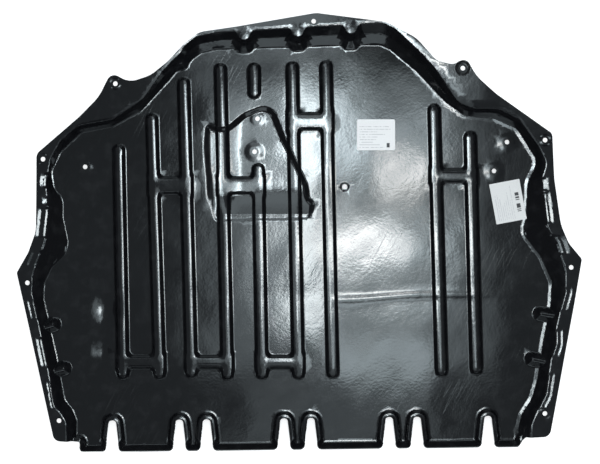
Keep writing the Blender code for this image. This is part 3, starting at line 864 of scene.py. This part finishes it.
@dataclass
class TrayShell:
    """The pressed sheet itself, from the flat blank to the finished mesh."""

    form: TrayForm
    sheet: float = 2.5
    clearance: float = 0.4
    arc_step: float = math.radians(12.0)
    cell: float = 12.0
    half_width: float = 480.0
    rear: float = -369.3
    length: float = 740.0
    lip_margin: float = 0.4
    fold_margin: float = 0.6
    crown_margin: float = 3.0
    crease_rows: tuple[float, ...] = (7.0, 4.0, 1.2, -1.6, -4.4, -7.2, -10.0, -13.0, -16.0)
    shortest: float = 1.7
    most_bend: float = math.radians(40.0)
    hidden_bend: float = math.radians(3.3)
    probes: tuple[float, ...] = (0.25, 0.5, 0.75)
    levels: int = 5
    hole_margin: float = 1.0
    hole_edge: float = 3.2
    punch_margin: float = 1.2
    punch_reach: float = 5.0

    @property
    def lift(self) -> float:
        """Height of the flat floor's upper face over the ground."""
        return self.form.recess_depth + self.sheet + self.clearance

    def build(self) -> bpy.types.Object:
        """Makes the tray's object, in the place of its solid."""
        bm = bmesh.new()
        round_vertices(bm, self.form.outline_corners, self.arc_step)
        self.cut_cells(bm)
        self.refine(bm)
        self.punch(bm)
        self.press(bm)
        self.thicken(bm)
        self.fit(bm)
        tray = finished("tray", bm)
        self.shade(tray.data)
        LOG.info("tray: %d faces", len(tray.data.polygons))
        return tray

    def cut_cells(self, bm: bmesh.types.BMesh) -> None:
        """Cuts the blank into cells, by lines that follow the ribs and by lines across them."""
        lines = [(-self.half_width, 0.0), (self.half_width, 0.0)]
        base = self.form.rib_half_base
        top = base - self.form.rib_wall
        outer = base + self.form.rib_base_lip
        shifts = [base, (base + top) / 2.0, top, top - self.crown_margin]
        folds = ((outer, self.lip_margin), (base, self.fold_margin), (top, self.fold_margin))
        for fold, margin in folds:
            shifts += [fold + margin, fold - margin]
        for index, rib in enumerate(RIBS):
            if index == SHORT_RIB:
                continue
            for shift in shifts:
                lines.append((rib.x_at(0.0) - shift, rib.slope))
                lines.append((rib.x_at(0.0) + shift, rib.slope))
        lines.sort()
        rungs = list(lines)
        for (x, slope), (next_x, next_slope) in zip(lines, lines[1:]):
            parts = math.ceil((next_x - x) / self.cell)
            for part in range(1, parts):
                share = part / parts
                rungs.append((x + (next_x - x) * share, slope + (next_slope - slope) * share))
        along = [
            (Vector((x, 0.0, 0.0)), Vector((1.0, -slope, 0.0)).normalized())
            for x, slope in sorted(rungs)
        ]
        count = math.ceil(self.length / self.cell)
        rows = [self.rear + self.length * row / count for row in range(1, count)]
        rows += [self.form.crease_y + shift for shift in self.crease_rows]
        across = [(Vector((0.0, y, 0.0)), Vector((0.0, 1.0, 0.0))) for y in sorted(rows)]
        for planes in (along, across):
            self.slice(bm, planes)

    @staticmethod
    def slice(bm: bmesh.types.BMesh, planes: Iterable[tuple[Vector, Vector]]) -> None:
        """Cuts every face by each of a row of planes.

        Args:
            bm: the flat mesh.
            planes: point and normal of each plane, in order along the normals.
        """
        rest = list(bm.faces)
        for origin, normal in planes:
            geometry = dict.fromkeys(rest)
            for face in rest:
                geometry.update(dict.fromkeys(face.edges))
                geometry.update(dict.fromkeys(face.verts))
            cut = bmesh.ops.bisect_plane(
                bm, geom=list(geometry), dist=CUT_GAP, plane_co=origin, plane_no=normal
            )
            rest = [
                item
                for item in cut["geom"]
                if isinstance(item, bmesh.types.BMFace)
                and (item.calc_center_median() - origin).dot(normal) > 0.0
            ]

    def refine(self, bm: bmesh.types.BMesh) -> None:
        """Subdivides the edges along which the pressed sheet bends."""
        settled = bm.edges.layers.int.new("settled")
        for level in range(self.levels):
            many_sided = [face for face in bm.faces if len(face.verts) > 4]
            if many_sided:
                bmesh.ops.triangulate(
                    bm, faces=many_sided, quad_method="BEAUTY", ngon_method="BEAUTY"
                )
            edges = [
                edge
                for edge in bm.edges
                if not edge[settled] and edge.calc_length() > self.shortest
            ]
            starts = np.array([edge.verts[0].co.xy for edge in edges])
            ends = np.array([edge.verts[1].co.xy for edge in edges])
            middles = (starts + ends) / 2.0
            chosen = self.needs_cut(starts, ends)
            length = np.hypot(*(starts - ends).T)
            for hole in FLANGE_HOLES + FLOOR_HOLES:
                gap = np.hypot(middles[:, 0] - hole.x, middles[:, 1] - hole.y)
                chosen |= (gap < hole.outer + self.hole_margin) & (length > self.hole_edge)
            for edge, take in zip(edges, chosen):
                edge[settled] = int(not take)
            taken = [edge for edge, take in zip(edges, chosen) if take]
            LOG.info("level %d: %d of %d edges", level, len(taken), len(edges))
            if not taken:
                break
            bmesh.ops.subdivide_edges(bm, edges=taken, cuts=1, use_grid_fill=True)

    def needs_cut(self, starts: np.ndarray, ends: np.ndarray) -> np.ndarray:
        """Which edges hide a bend that their two ends don't show.

        Args:
            starts: N by 2 places of the edges' first ends.
            ends: N by 2 places of their second ends.

        Returns:
            N true or false values.
        """
        first = self.form.normals(starts)
        last = self.form.normals(ends)
        chosen = (first * last).sum(axis=1) < math.cos(self.most_bend)
        for share in self.probes:
            true = self.form.normals(starts + (ends - starts) * share)
            mixed = first + (last - first) * share
            match = (true * mixed).sum(axis=1) / np.linalg.norm(mixed, axis=1)
            chosen |= match < math.cos(self.hidden_bend)
        return chosen

    def punch(self, bm: bmesh.types.BMesh) -> None:
        """Opens each fixing hole and draws the mesh round it onto a circle."""
        for hole in FLANGE_HOLES + FLOOR_HOLES:
            centre = Vector((hole.x, hole.y, 0.0))
            inner = [
                face
                for face in bm.faces
                if (face.calc_center_median() - centre).length < hole.radius + self.punch_margin
            ]
            bmesh.ops.delete(bm, geom=inner, context="FACES")
            reach = hole.radius + self.punch_reach
            rim = [
                edge
                for edge in bm.edges
                if edge.is_boundary and all((vert.co - centre).length < reach for vert in edge.verts)
            ]
            made = bmesh.ops.extrude_edge_only(bm, edges=rim)["geom"]
            for item in made:
                if isinstance(item, bmesh.types.BMVert):
                    item.co = centre + (item.co - centre).normalized() * hole.radius

    def press(self, bm: bmesh.types.BMesh) -> None:
        """Moves the flat blank's vertices to the height of the pressed form."""
        bend = bm.verts.layers.float_vector.new(BEND)
        verts = list(bm.verts)
        places = np.array([vert.co.xy for vert in verts])
        for vert, height, normal in zip(verts, self.form.upper(places), self.form.normals(places)):
            vert.co.z = height + self.lift
            vert[bend] = normal

    def thicken(self, bm: bmesh.types.BMesh) -> None:
        """Gives the sheet its thickness, below the pressed face."""
        for face in bm.faces:
            face.smooth = True
        down = [face for face in bm.faces if face.normal.z < 0.0]
        if down:
            bmesh.ops.reverse_faces(bm, faces=down)
        pressed = list(bm.faces)
        below = bmesh.ops.extrude_face_region(bm, geom=pressed, use_keep_orig=True)["geom"]
        bend = bm.verts.layers.float_vector[BEND]
        for vert in (item for item in below if isinstance(item, bmesh.types.BMVert)):
            vert.co -= vert[bend] * self.sheet
            vert[bend] = -vert[bend]
        bmesh.ops.recalc_face_normals(bm, faces=list(bm.faces))

    @staticmethod
    def fit(bm: bmesh.types.BMesh) -> None:
        """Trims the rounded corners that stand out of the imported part's box by a few hundredths."""
        for vert in bm.verts:
            vert.co = (min(max(value, low), high) for value, (low, high) in zip(vert.co, BOX))

    @staticmethod
    def shade(mesh: bpy.types.Mesh) -> None:
        """Shades both faces of the sheet by the form's own normals, and its cut edges flat."""
        bend = np.empty(len(mesh.vertices) * 3)
        mesh.attributes[BEND].data.foreach_get("vector", bend)
        corners = np.empty(len(mesh.loops), np.int32)
        mesh.loops.foreach_get("vertex_index", corners)
        flat = np.empty(len(mesh.polygons) * 3)
        mesh.polygons.foreach_get("normal", flat)
        sides = np.empty(len(mesh.polygons), np.int32)
        mesh.polygons.foreach_get("loop_total", sides)
        flat = np.repeat(flat.reshape(-1, 3), sides, axis=0)
        normals = bend.reshape(-1, 3)[corners]
        cut = (normals * flat).sum(axis=1) < CUT_COSINE
        of_cut_face = np.repeat(np.maximum.reduceat(cut, np.cumsum(sides) - sides), sides)
        normals[of_cut_face] = flat[of_cut_face]
        mesh.normals_split_custom_set(normals.tolist())
        mesh.attributes.remove(mesh.attributes[BEND])


def finished(name: str, bm: bmesh.types.BMesh) -> bpy.types.Object:
    """Turns a mesh in millimetres into an object of the part, at the origin.

    Args:
        name: the object's name.
        bm: the mesh, which is freed.

    Returns:
        The object, linked to the scene.
    """
    bmesh.ops.scale(bm, vec=(METRES,) * 3, verts=list(bm.verts))
    mesh = bpy.data.meshes.new(name)
    bm.to_mesh(mesh)
    bm.free()
    mesh.shade_smooth()
    mesh.set_sharp_from_angle(angle=SHARP_ANGLE)
    piece = bpy.data.objects.new(name, mesh)
    bpy.context.scene.collection.objects.link(piece)
    return piece


class NodeDesk:
    """Lays out the nodes of one material or of the world."""

    def __init__(
        self, owner: bpy.types.Material | bpy.types.World, shader: str = "Principled BSDF"
    ) -> None:
        """Starts with the shader alone.

        Args:
            owner: the material or the world.
            shader: the name of its shader.
        """
        owner.use_nodes = True
        self.owner = owner
        self.tree = owner.node_tree
        self.shader = self.tree.nodes[shader]

    @cached_property
    def place(self) -> bpy.types.NodeSocket:
        """The object's own coordinates."""
        return self.add("TexCoord").outputs["Object"]

    def feed(self, socket: bpy.types.NodeSocket, value: Feed) -> None:
        """Links an output to a socket, or sets a value on it."""
        if isinstance(value, bpy.types.NodeSocket):
            self.tree.links.new(value, socket)
        else:
            socket.default_value = value

    def add(
        self, kind: str, inputs: dict[str | int, Feed] | None = None, **options: str
    ) -> bpy.types.Node:
        """Adds one node.

        Args:
            kind: its type, without the first words that all shader nodes share.
            inputs: what its inputs get, by name or by place in the list.
            options: its settings.

        Returns:
            The node.
        """
        node = self.tree.nodes.new("ShaderNode" + kind)
        for name, value in options.items():
            setattr(node, name, value)
        for key, value in (inputs or {}).items():
            self.feed(node.inputs[key], value)
        return node

    def dress(self, inputs: dict[str, Feed]) -> None:
        """Feeds the shader's inputs, by name."""
        for name, value in inputs.items():
            self.feed(self.shader.inputs[name], value)

    def math(self, operation: str, *values: Feed) -> bpy.types.NodeSocket:
        """Works one sum on outputs or numbers."""
        return self.add("Math", dict(enumerate(values)), operation=operation).outputs[0]

    def all_of(self, *masks: bpy.types.NodeSocket) -> bpy.types.NodeSocket:
        """The product of some masks."""
        result = masks[0]
        for mask in masks[1:]:
            result = self.math("MULTIPLY", result, mask)
        return result

    def moved(self, shift: Corner, turn: float, scale: Corner) -> bpy.types.NodeSocket:
        """The object's coordinates in a frame of their own.

        Args:
            shift: where the frame's middle is, in metres.
            turn: how far it is turned about the vertical.
            scale: the length of its units in metres.

        Returns:
            The coordinates' output.
        """
        inputs = {"Vector": self.place, "Location": shift, "Rotation": (0.0, 0.0, turn), "Scale": scale}
        return self.add("Mapping", inputs, vector_type="TEXTURE").outputs["Vector"]

    def noise(self, vector: bpy.types.NodeSocket, scale: float, detail: float) -> bpy.types.NodeSocket:
        """A cloudy pattern: where it is read, how fine it is and how many finer layers it holds."""
        inputs = {"Vector": vector, "Scale": scale, "Detail": detail}
        return self.add("TexNoise", inputs).outputs["Fac"]

    def random(self, value: bpy.types.NodeSocket, dimensions: str = "1D") -> bpy.types.NodeSocket:
        """A random strength for each value, or for each place if three dimensions are asked for."""
        socket = "W" if dimensions == "1D" else "Vector"
        return self.add("TexWhiteNoise", {socket: value}, noise_dimensions=dimensions).outputs["Value"]

    def spread(
        self, value: bpy.types.NodeSocket, source: Place, to: Place = (0.0, 1.0)
    ) -> bpy.types.NodeSocket:
        """Spreads a range of strengths over another range.

        Args:
            value: the strength.
            source: the strengths that give the two results.
            to: the two results.

        Returns:
            The result's output, held within the two results.
        """
        inputs = {"Value": value, "From Min": source[0], "From Max": source[1]}
        inputs |= {"To Min": to[0], "To Max": to[1]}
        return self.add("MapRange", inputs).outputs["Result"]

    def emboss(self, *bumps: tuple[bpy.types.NodeSocket, float]) -> None:
        """Gives the shader a chain of bumps.

        Args:
            bumps: each bump's height output and its distance in metres.
        """
        before: dict[str, Feed] = {}
        for height, distance in bumps:
            node = self.add("Bump", {"Height": height, "Distance": distance, **before})
            before = {"Normal": node.outputs["Normal"]}
        self.dress(before)

    def tint(
        self, share: bpy.types.NodeSocket, first: Colour | bpy.types.NodeSocket, second: Colour
    ) -> bpy.types.NodeSocket:
        """Mixes two colours.

        Args:
            share: how much of the second colour shows.
            first: the first colour, or an output that gives it.
            second: the second colour.

        Returns:
            The mixed colour.
        """
        if not isinstance(first, bpy.types.NodeSocket):
            first = (*first, 1.0)
        return self.add("Mix", {0: share, 6: first, 7: (*second, 1.0)}, data_type="RGBA").outputs[2]


@dataclass(frozen=True)
class GlossyPlastic:
    """Glossy black polyethylene sheet, with the unevenness that pressing leaves."""

    colour: Colour = (0.0050, 0.0053, 0.0064)
    rubbed: Colour = (0.011, 0.0115, 0.013)
    refraction: float = 1.52
    sheen: Place = (0.067, 0.102)
    sheen_scale: float = 31.0
    sheen_range: Place = (0.35, 0.65)
    peel_scale: float = 250.0
    peel_height: float = 0.000036
    streak_scale: float = 115.0
    streak_height: float = 0.000030
    streak_turn: float = math.radians(35.0)
    streak_stretch: Corner = (1.9, 1.0, 1.0)
    cloud_scale: float = 22.0
    cloud_height: float = 0.00016
    cloud_turn: float = math.radians(-8.0)
    cloud_stretch: Corner = (1.0, 2.0, 1.0)
    scratch_scale: float = 90.0
    scratch_shift: Corner = (0.3, 0.1, 0.0)
    scratch_turn: float = math.radians(62.0)
    scratch_stretch: Corner = (30.0, 1.0, 1.0)
    scratch_width: float = 0.006
    scratch_depth: float = 0.000012
    scratch_roughness: float = 0.08
    patch_scale: float = 9.0
    patch_range: Place = (0.56, 0.66)
    wear_scale: float = 55.0
    wear_range: Place = (0.5, 0.75)

    def material(self) -> bpy.types.Material:
        """Makes the sheet's material."""
        desk = NodeDesk(bpy.data.materials.new("glossy_plastic"))
        slanted = desk.moved(ORIGIN, self.streak_turn, self.streak_stretch)
        drawn = desk.moved(ORIGIN, self.cloud_turn, self.cloud_stretch)
        brushed = desk.moved(self.scratch_shift, self.scratch_turn, self.scratch_stretch)
        peel = desk.noise(desk.place, self.peel_scale, detail=2.0)
        streak = desk.noise(slanted, self.streak_scale, detail=2.0)
        cloud = desk.noise(drawn, self.cloud_scale, detail=3.0)
        hair = desk.math("SUBTRACT", desk.noise(brushed, self.scratch_scale, detail=1.0), 0.5)
        line = desk.spread(desk.math("ABSOLUTE", hair), (0.0, self.scratch_width), (1.0, 0.0))
        patch = desk.spread(desk.noise(desk.place, self.patch_scale, detail=1.0), self.patch_range)
        scratch = desk.all_of(line, patch)
        desk.emboss(
            (cloud, self.cloud_height),
            (streak, self.streak_height),
            (peel, self.peel_height),
            (scratch, -self.scratch_depth),
        )
        haze = desk.noise(slanted, self.sheen_scale, detail=3.0)
        rough = desk.spread(haze, self.sheen_range, self.sheen)
        rough = desk.math("ADD", rough, desk.math("MULTIPLY", scratch, self.scratch_roughness))
        worn = desk.spread(desk.noise(desk.place, self.wear_scale, detail=4.0), self.wear_range)
        colour = desk.tint(desk.math("MAXIMUM", worn, scratch), self.colour, self.rubbed)
        desk.dress({"IOR": self.refraction, "Roughness": rough, "Base Color": colour})
        return desk.owner


@dataclass(frozen=True)
class Print:
    """What is printed on a sticker, in millimetres from its middle: plain lines and one dark block."""

    pitch: float
    line: float
    half_width: float
    lowest: float
    highest: float
    block: tuple[float, float, float, float]
    block_bars: float
    turned: bool = False


@dataclass(frozen=True)
class StickerPaper:
    """Coated white label paper with grey print that says nothing."""

    colour: Colour = (0.80, 0.80, 0.81)
    shade: Colour = (0.76, 0.76, 0.77)
    ink: Colour = (0.50, 0.50, 0.52)
    dark_ink: Colour = (0.03, 0.03, 0.035)
    fibre_scale: float = 900.0
    fibre_range: Place = (0.35, 0.65)
    fibre_height: float = 0.00001
    gloss_range: Place = (0.3, 0.7)
    roughness: Place = (0.36, 0.5)
    wave_scale: float = 60.0
    wave_height: float = 0.00015
    dash_length: float = 1.3
    dash_share: float = 0.72
    shortest_line: float = -0.1
    bar_gap_share: float = 0.42

    def material(self, sheet: "StickerSheet") -> bpy.types.Material:
        """Makes one sticker's material.

        Args:
            sheet: the sticker, for its place and its print.

        Returns:
            The material.
        """
        desk = NodeDesk(bpy.data.materials.new(sheet.name))
        centre = (sheet.x * METRES, sheet.y * METRES, 0.0)
        split = desk.add("SeparateXYZ", {0: desk.moved(centre, sheet.turn, (METRES,) * 3)})
        x, y = split.outputs[0], split.outputs[1]
        if sheet.printed.turned:
            x, y = y, x
        fibre = desk.noise(desk.place, self.fibre_scale, detail=3.0)
        paper = desk.tint(desk.spread(fibre, self.fibre_range), self.shade, self.colour)
        inked = desk.tint(self.lines(desk, sheet.printed, x, y), paper, self.ink)
        colour = desk.tint(self.block(desk, sheet.printed, x, y), inked, self.dark_ink)
        rough = desk.spread(fibre, self.gloss_range, self.roughness)
        desk.dress({"Base Color": colour, "Roughness": rough})
        wave = desk.noise(desk.place, self.wave_scale, detail=1.0)
        desk.emboss((fibre, self.fibre_height), (wave, self.wave_height))
        return desk.owner

    @staticmethod
    def within(
        desk: NodeDesk, value: bpy.types.NodeSocket, low: float, high: float
    ) -> bpy.types.NodeSocket:
        """1 where a value lies between two others, else 0."""
        return desk.all_of(desk.math("GREATER_THAN", value, low), desk.math("LESS_THAN", value, high))

    def lines(
        self, desk: NodeDesk, printed: Print, x: bpy.types.NodeSocket, y: bpy.types.NodeSocket
    ) -> bpy.types.NodeSocket:
        """Rows of short dashes of uneven length, faint as small print is from afar.

        Args:
            desk: the material's nodes.
            printed: the print's sizes.
            x: place along the rows.
            y: place across the rows.

        Returns:
            1 where there is ink.
        """
        row = desk.math("DIVIDE", y, printed.pitch)
        index = desk.math("FLOOR", row)
        column = desk.math("FLOOR", desk.math("DIVIDE", x, self.dash_length))
        dash = desk.random(desk.add("CombineXYZ", {0: column, 1: index}).outputs[0], "3D")
        ends = (self.shortest_line * printed.half_width, printed.half_width)
        return desk.all_of(
            desk.math("LESS_THAN", desk.math("FRACT", row), printed.line / printed.pitch),
            desk.math("LESS_THAN", dash, self.dash_share),
            desk.math("GREATER_THAN", x, -printed.half_width),
            desk.math("LESS_THAN", x, desk.spread(desk.random(index), (0.0, 1.0), ends)),
            self.within(desk, y, printed.lowest, printed.highest),
        )

    def block(
        self, desk: NodeDesk, printed: Print, x: bpy.types.NodeSocket, y: bpy.types.NodeSocket
    ) -> bpy.types.NodeSocket:
        """A small block of uneven bars.

        Args:
            desk: the material's nodes.
            printed: the print's sizes.
            x: place along the rows.
            y: place across the rows.

        Returns:
            1 where there is ink.
        """
        left, right, low, high = printed.block
        bar = desk.random(desk.math("FLOOR", desk.math("DIVIDE", x, printed.block_bars)))
        return desk.all_of(
            desk.math("GREATER_THAN", bar, self.bar_gap_share),
            self.within(desk, x, left, right),
            self.within(desk, y, low, high),
        )


@dataclass(frozen=True)
class StickerSheet:
    """A paper sticker that lies on the tray's floor."""

    name: str
    node: str
    slot: Slot
    x: float
    y: float
    width: float
    length: float
    turn: float
    corner: float
    paper: StickerPaper
    printed: Print
    gap: float = 0.06
    thickness: float = 0.2
    cell: float = 6.0
    arc_step: float = math.radians(15.0)

    def build(self, shell: TrayShell) -> bpy.types.Object:
        """Makes the sticker's object, bent to the floor that it is stuck to.

        Args:
            shell: the tray that the sticker lies on.

        Returns:
            The sticker's object.
        """
        half_x, half_y = self.width / 2.0, self.length / 2.0
        flat = ((-half_x, half_y), (half_x, half_y), (half_x, -half_y), (-half_x, -half_y))
        bm = bmesh.new()
        round_vertices(bm, [(x, y, self.corner) for x, y in flat], self.arc_step)
        for axis, half in ((Vector((1.0, 0.0, 0.0)), half_x), (Vector((0.0, 1.0, 0.0)), half_y)):
            count = math.ceil(2.0 * half / self.cell)
            steps = (axis * half * (2.0 * step / count - 1.0) for step in range(1, count))
            TrayShell.slice(bm, [(origin, axis) for origin in steps])
        bmesh.ops.rotate(bm, verts=list(bm.verts), matrix=Matrix.Rotation(self.turn, 3, "Z"))
        bmesh.ops.translate(bm, verts=list(bm.verts), vec=(self.x, self.y, 0.0))
        verts = list(bm.verts)
        heights = shell.form.upper(np.array([vert.co.xy for vert in verts]))
        for vert, height in zip(verts, heights):
            vert.co.z = height + shell.lift + self.gap
        made = bmesh.ops.extrude_face_region(bm, geom=list(bm.faces), use_keep_orig=True)["geom"]
        raised = [item for item in made if isinstance(item, bmesh.types.BMVert)]
        bmesh.ops.translate(bm, verts=raised, vec=(0.0, 0.0, self.thickness))
        bmesh.ops.recalc_face_normals(bm, faces=list(bm.faces))
        sticker = finished(self.name, bm)
        LOG.info("%s: %d faces", self.name, len(sticker.data.polygons))
        return sticker


FRONT_STICKER = StickerSheet(
    name="front_sticker_sheet",
    node="front_sticker",
    slot=Slot.FRONT_PAPER,
    x=130.0,
    y=167.3,
    width=64.5,
    length=52.2,
    turn=0.0,
    corner=3.0,
    paper=StickerPaper(),
    printed=Print(4.4, 1.1, 28.0, -22.0, 16.0, (18.0, 26.5, -21.5, -14.0), block_bars=2.1),
)
SIDE_STICKER = StickerSheet(
    name="side_sticker_sheet",
    node="side_sticker",
    slot=Slot.SIDE_PAPER,
    x=353.5,
    y=53.9,
    width=52.0,
    length=69.0,
    turn=math.radians(10.6),
    corner=0.8,
    paper=StickerPaper(colour=(0.70, 0.70, 0.70), shade=(0.66, 0.66, 0.66)),
    printed=Print(3.4, 0.9, 30.0, -21.0, 9.0, (-20.0, 13.0, 13.5, 20.0), block_bars=1.5, turned=True),
)
COOL = (0.80, 0.94, 1.0)
WARM = (1.0, 0.98, 0.95)


@dataclass(frozen=True)
class Panel:
    """A level lamp, by the part of the picture in which the tray's level floor mirrors it."""

    left: float
    top: float
    right: float
    bottom: float
    radiance: float
    tint: Colour = COOL


# Where panels overlap, their light adds up
PANELS = (
    Panel(-60, -60, 660, 520, 0.16),
    Panel(196, 66, 500, 345, 0.6),
    Panel(206, 78, 474, 335, 0.7),
    Panel(250, 84, 450, 296, 0.9),
    Panel(206, 98, 290, 196, 2.4),
    Panel(262, 210, 440, 280, 1.8),
    Panel(284, 80, 352, 174, 6.8),
    Panel(286, 112, 345, 170, 5.5),
    Panel(345, 112, 440, 182, 3.0),
    Panel(376, 154, 424, 196, 12.0, WARM),
    Panel(286, 84, 320, 302, 8.0),
    Panel(290, 100, 316, 294, 8.0, WARM),
    Panel(330, 227, 448, 262, 4.0),
    Panel(322, 230, 418, 260, 9.0, WARM),
    Panel(322, 232, 386, 257, 9.5, WARM),
    Panel(330, 262, 440, 290, 1.2),
    Panel(240, 354, 445, 412, 0.7),
    Panel(200, 405, 450, 480, 0.5),
    Panel(322, 306, 438, 352, 4.2),
    Panel(180, -180, 345, 58, 1.4),
    Panel(190, -90, 340, 60, 0.5),
    Panel(-420, 405, -100, 520, 4.0),
    Panel(700, 405, 1020, 520, 4.0),
)
# Lamps that face the tray: name, place in metres, width and length, brightness
SIDE_LAMPS = (
    ("rear_panel", (0.2, -3.2, 1.15), (3.2, 1.5), 1.15),
    ("front_panel", (0.2, 3.2, 2.4), (3.2, 1.1), 2.0),
)


@dataclass(frozen=True)
class Studio:
    """Camera straight above the tray, a white floor and soft lamps."""

    scale: float = 1.683
    centre_x: float = 299.3
    centre_y: float = 233.5
    picture: Place = (600.0, 464.0)
    height: float = 3000.0
    scale_level: float = 30.0
    clip_end: float = 50.0
    sensor: float = 36.0
    lamp_height: float = 3200.0
    lamp_gap: float = 4.0
    lamp_power: float = 4.0
    floor_reach: float = 12000.0
    floor_colour: Colour = (0.86, 0.86, 0.86)
    floor_roughness: float = 0.9
    floor_gloss: float = 0.1
    floor_glow: float = 0.6
    world_light: float = 0.6
    world_mirrored: float = 0.03

    def place(self, pixel_x: float, pixel_y: float) -> Place:
        """The place in plan under a point of the picture."""
        return (pixel_x - self.centre_x) * self.scale, (self.centre_y - pixel_y) * self.scale

    def build(self) -> None:
        """Makes the camera, the floor, the lamps and the world."""
        self.camera()
        self.floor()
        for index, panel in enumerate(PANELS):
            self.hang(f"panel_{index + 1}", panel, self.lamp_height - self.lamp_gap * index)
        for name, place, size, radiance in SIDE_LAMPS:
            self.lamp(name, place, size, radiance, COOL)
        self.world()

    def hang(self, name: str, panel: Panel, height: float) -> None:
        """Hangs a lamp where the level floor mirrors it at the panel's place in the picture.

        Args:
            name: the lamp's name.
            panel: the part of the picture that mirrors the lamp, and its brightness.
            height: how high the lamp hangs.
        """
        left, front = self.place(panel.left, panel.top)
        right, rear = self.place(panel.right, panel.bottom)
        stretch = 1.0 + height / self.height
        place = ((left + right) / 2.0 * stretch, (front + rear) / 2.0 * stretch, height)
        size = ((right - left) * stretch * METRES, (front - rear) * stretch * METRES)
        in_metres = tuple(value * METRES for value in place)
        self.lamp(name, in_metres, size, panel.radiance, panel.tint, level=True)

    def camera(self) -> None:
        """Makes the camera, looking straight down on the middle of the picture."""
        data = bpy.data.cameras.new("camera")
        data.sensor_width = self.sensor
        width = self.picture[0] * self.scale
        data.lens = self.sensor * (self.height - self.scale_level) / width
        data.clip_end = self.clip_end
        camera = bpy.data.objects.new("camera", data)
        x, y = self.place(self.picture[0] / 2.0, self.picture[1] / 2.0)
        camera.location = (x * METRES, y * METRES, self.height * METRES)
        bpy.context.scene.collection.objects.link(camera)
        bpy.context.scene.camera = camera

    def floor(self) -> None:
        """Makes the white floor, which keeps the tray's shadow."""
        bm = bmesh.new()
        bmesh.ops.create_grid(bm, x_segments=1, y_segments=1, size=self.floor_reach)
        floor = finished("floor", bm)
        desk = NodeDesk(bpy.data.materials.new("floor"))
        seen = desk.add("LightPath").outputs["Is Camera Ray"]
        inputs: dict[str, Feed] = {
            "Base Color": (*self.floor_colour, 1.0),
            "Roughness": self.floor_roughness,
            "Specular IOR Level": self.floor_gloss,
            "Emission Color": WHITE,
            "Emission Strength": desk.math("MULTIPLY", seen, self.floor_glow),
        }
        desk.dress(inputs)
        floor.data.materials.append(desk.owner)

    def lamp(
        self,
        name: str,
        place: Corner,
        size: Place,
        radiance: float,
        tint: Colour,
        level: bool = False,
    ) -> None:
        """Makes one rectangular lamp that shines at the tray.

        Args:
            name: the lamp's name.
            place: where its middle is, in metres.
            size: its width and length in metres.
            radiance: its brightness.
            tint: its colour.
            level: whether it hangs level instead of facing the tray.
        """
        data = bpy.data.lights.new(name, "AREA")
        data.shape = "RECTANGLE"
        data.size, data.size_y = size
        data.energy = radiance * self.lamp_power * size[0] * size[1]
        data.color = tint
        lamp = bpy.data.objects.new(name, data)
        lamp.location = place
        if not level:
            lamp.rotation_euler = (-Vector(place)).to_track_quat("-Z", "Y").to_euler()
        lamp.visible_camera = False
        bpy.context.scene.collection.objects.link(lamp)

    def world(self) -> None:
        """Makes the surroundings: white where the camera sees them, dim in reflections."""
        world = bpy.data.worlds.new("studio")
        bpy.context.scene.world = world
        desk = NodeDesk(world, "Background")
        path = desk.add("LightPath").outputs
        shares = {0: path["Is Glossy Ray"], 2: self.world_light, 3: self.world_mirrored}
        unseen = desk.add("Mix", shares).outputs[0]
        strength = desk.add("Mix", {0: path["Is Camera Ray"], 2: unseen, 3: 1.0}).outputs[0]
        desk.dress({"Color": WHITE, "Strength": strength})


def main() -> None:
    """Loads the frame and builds every piece round it."""
    logging.basicConfig(level=logging.INFO, format="%(message)s")
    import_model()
    scene = bpy.context.scene
    scene.view_settings.view_transform = "Standard"
    Studio().build()
    shell = TrayShell(TrayForm())
    tray = shell.build()
    tray.data.materials.append(GlossyPlastic().material())
    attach(tray, BODY)
    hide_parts("shield")
    for sheet in (FRONT_STICKER, SIDE_STICKER):
        sticker = sheet.build(shell)
        sticker.data.materials.append(sheet.paper.material(sheet))
        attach(sticker, BODY)
        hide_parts(sheet.node)


if __name__ == "__main__":
    main()
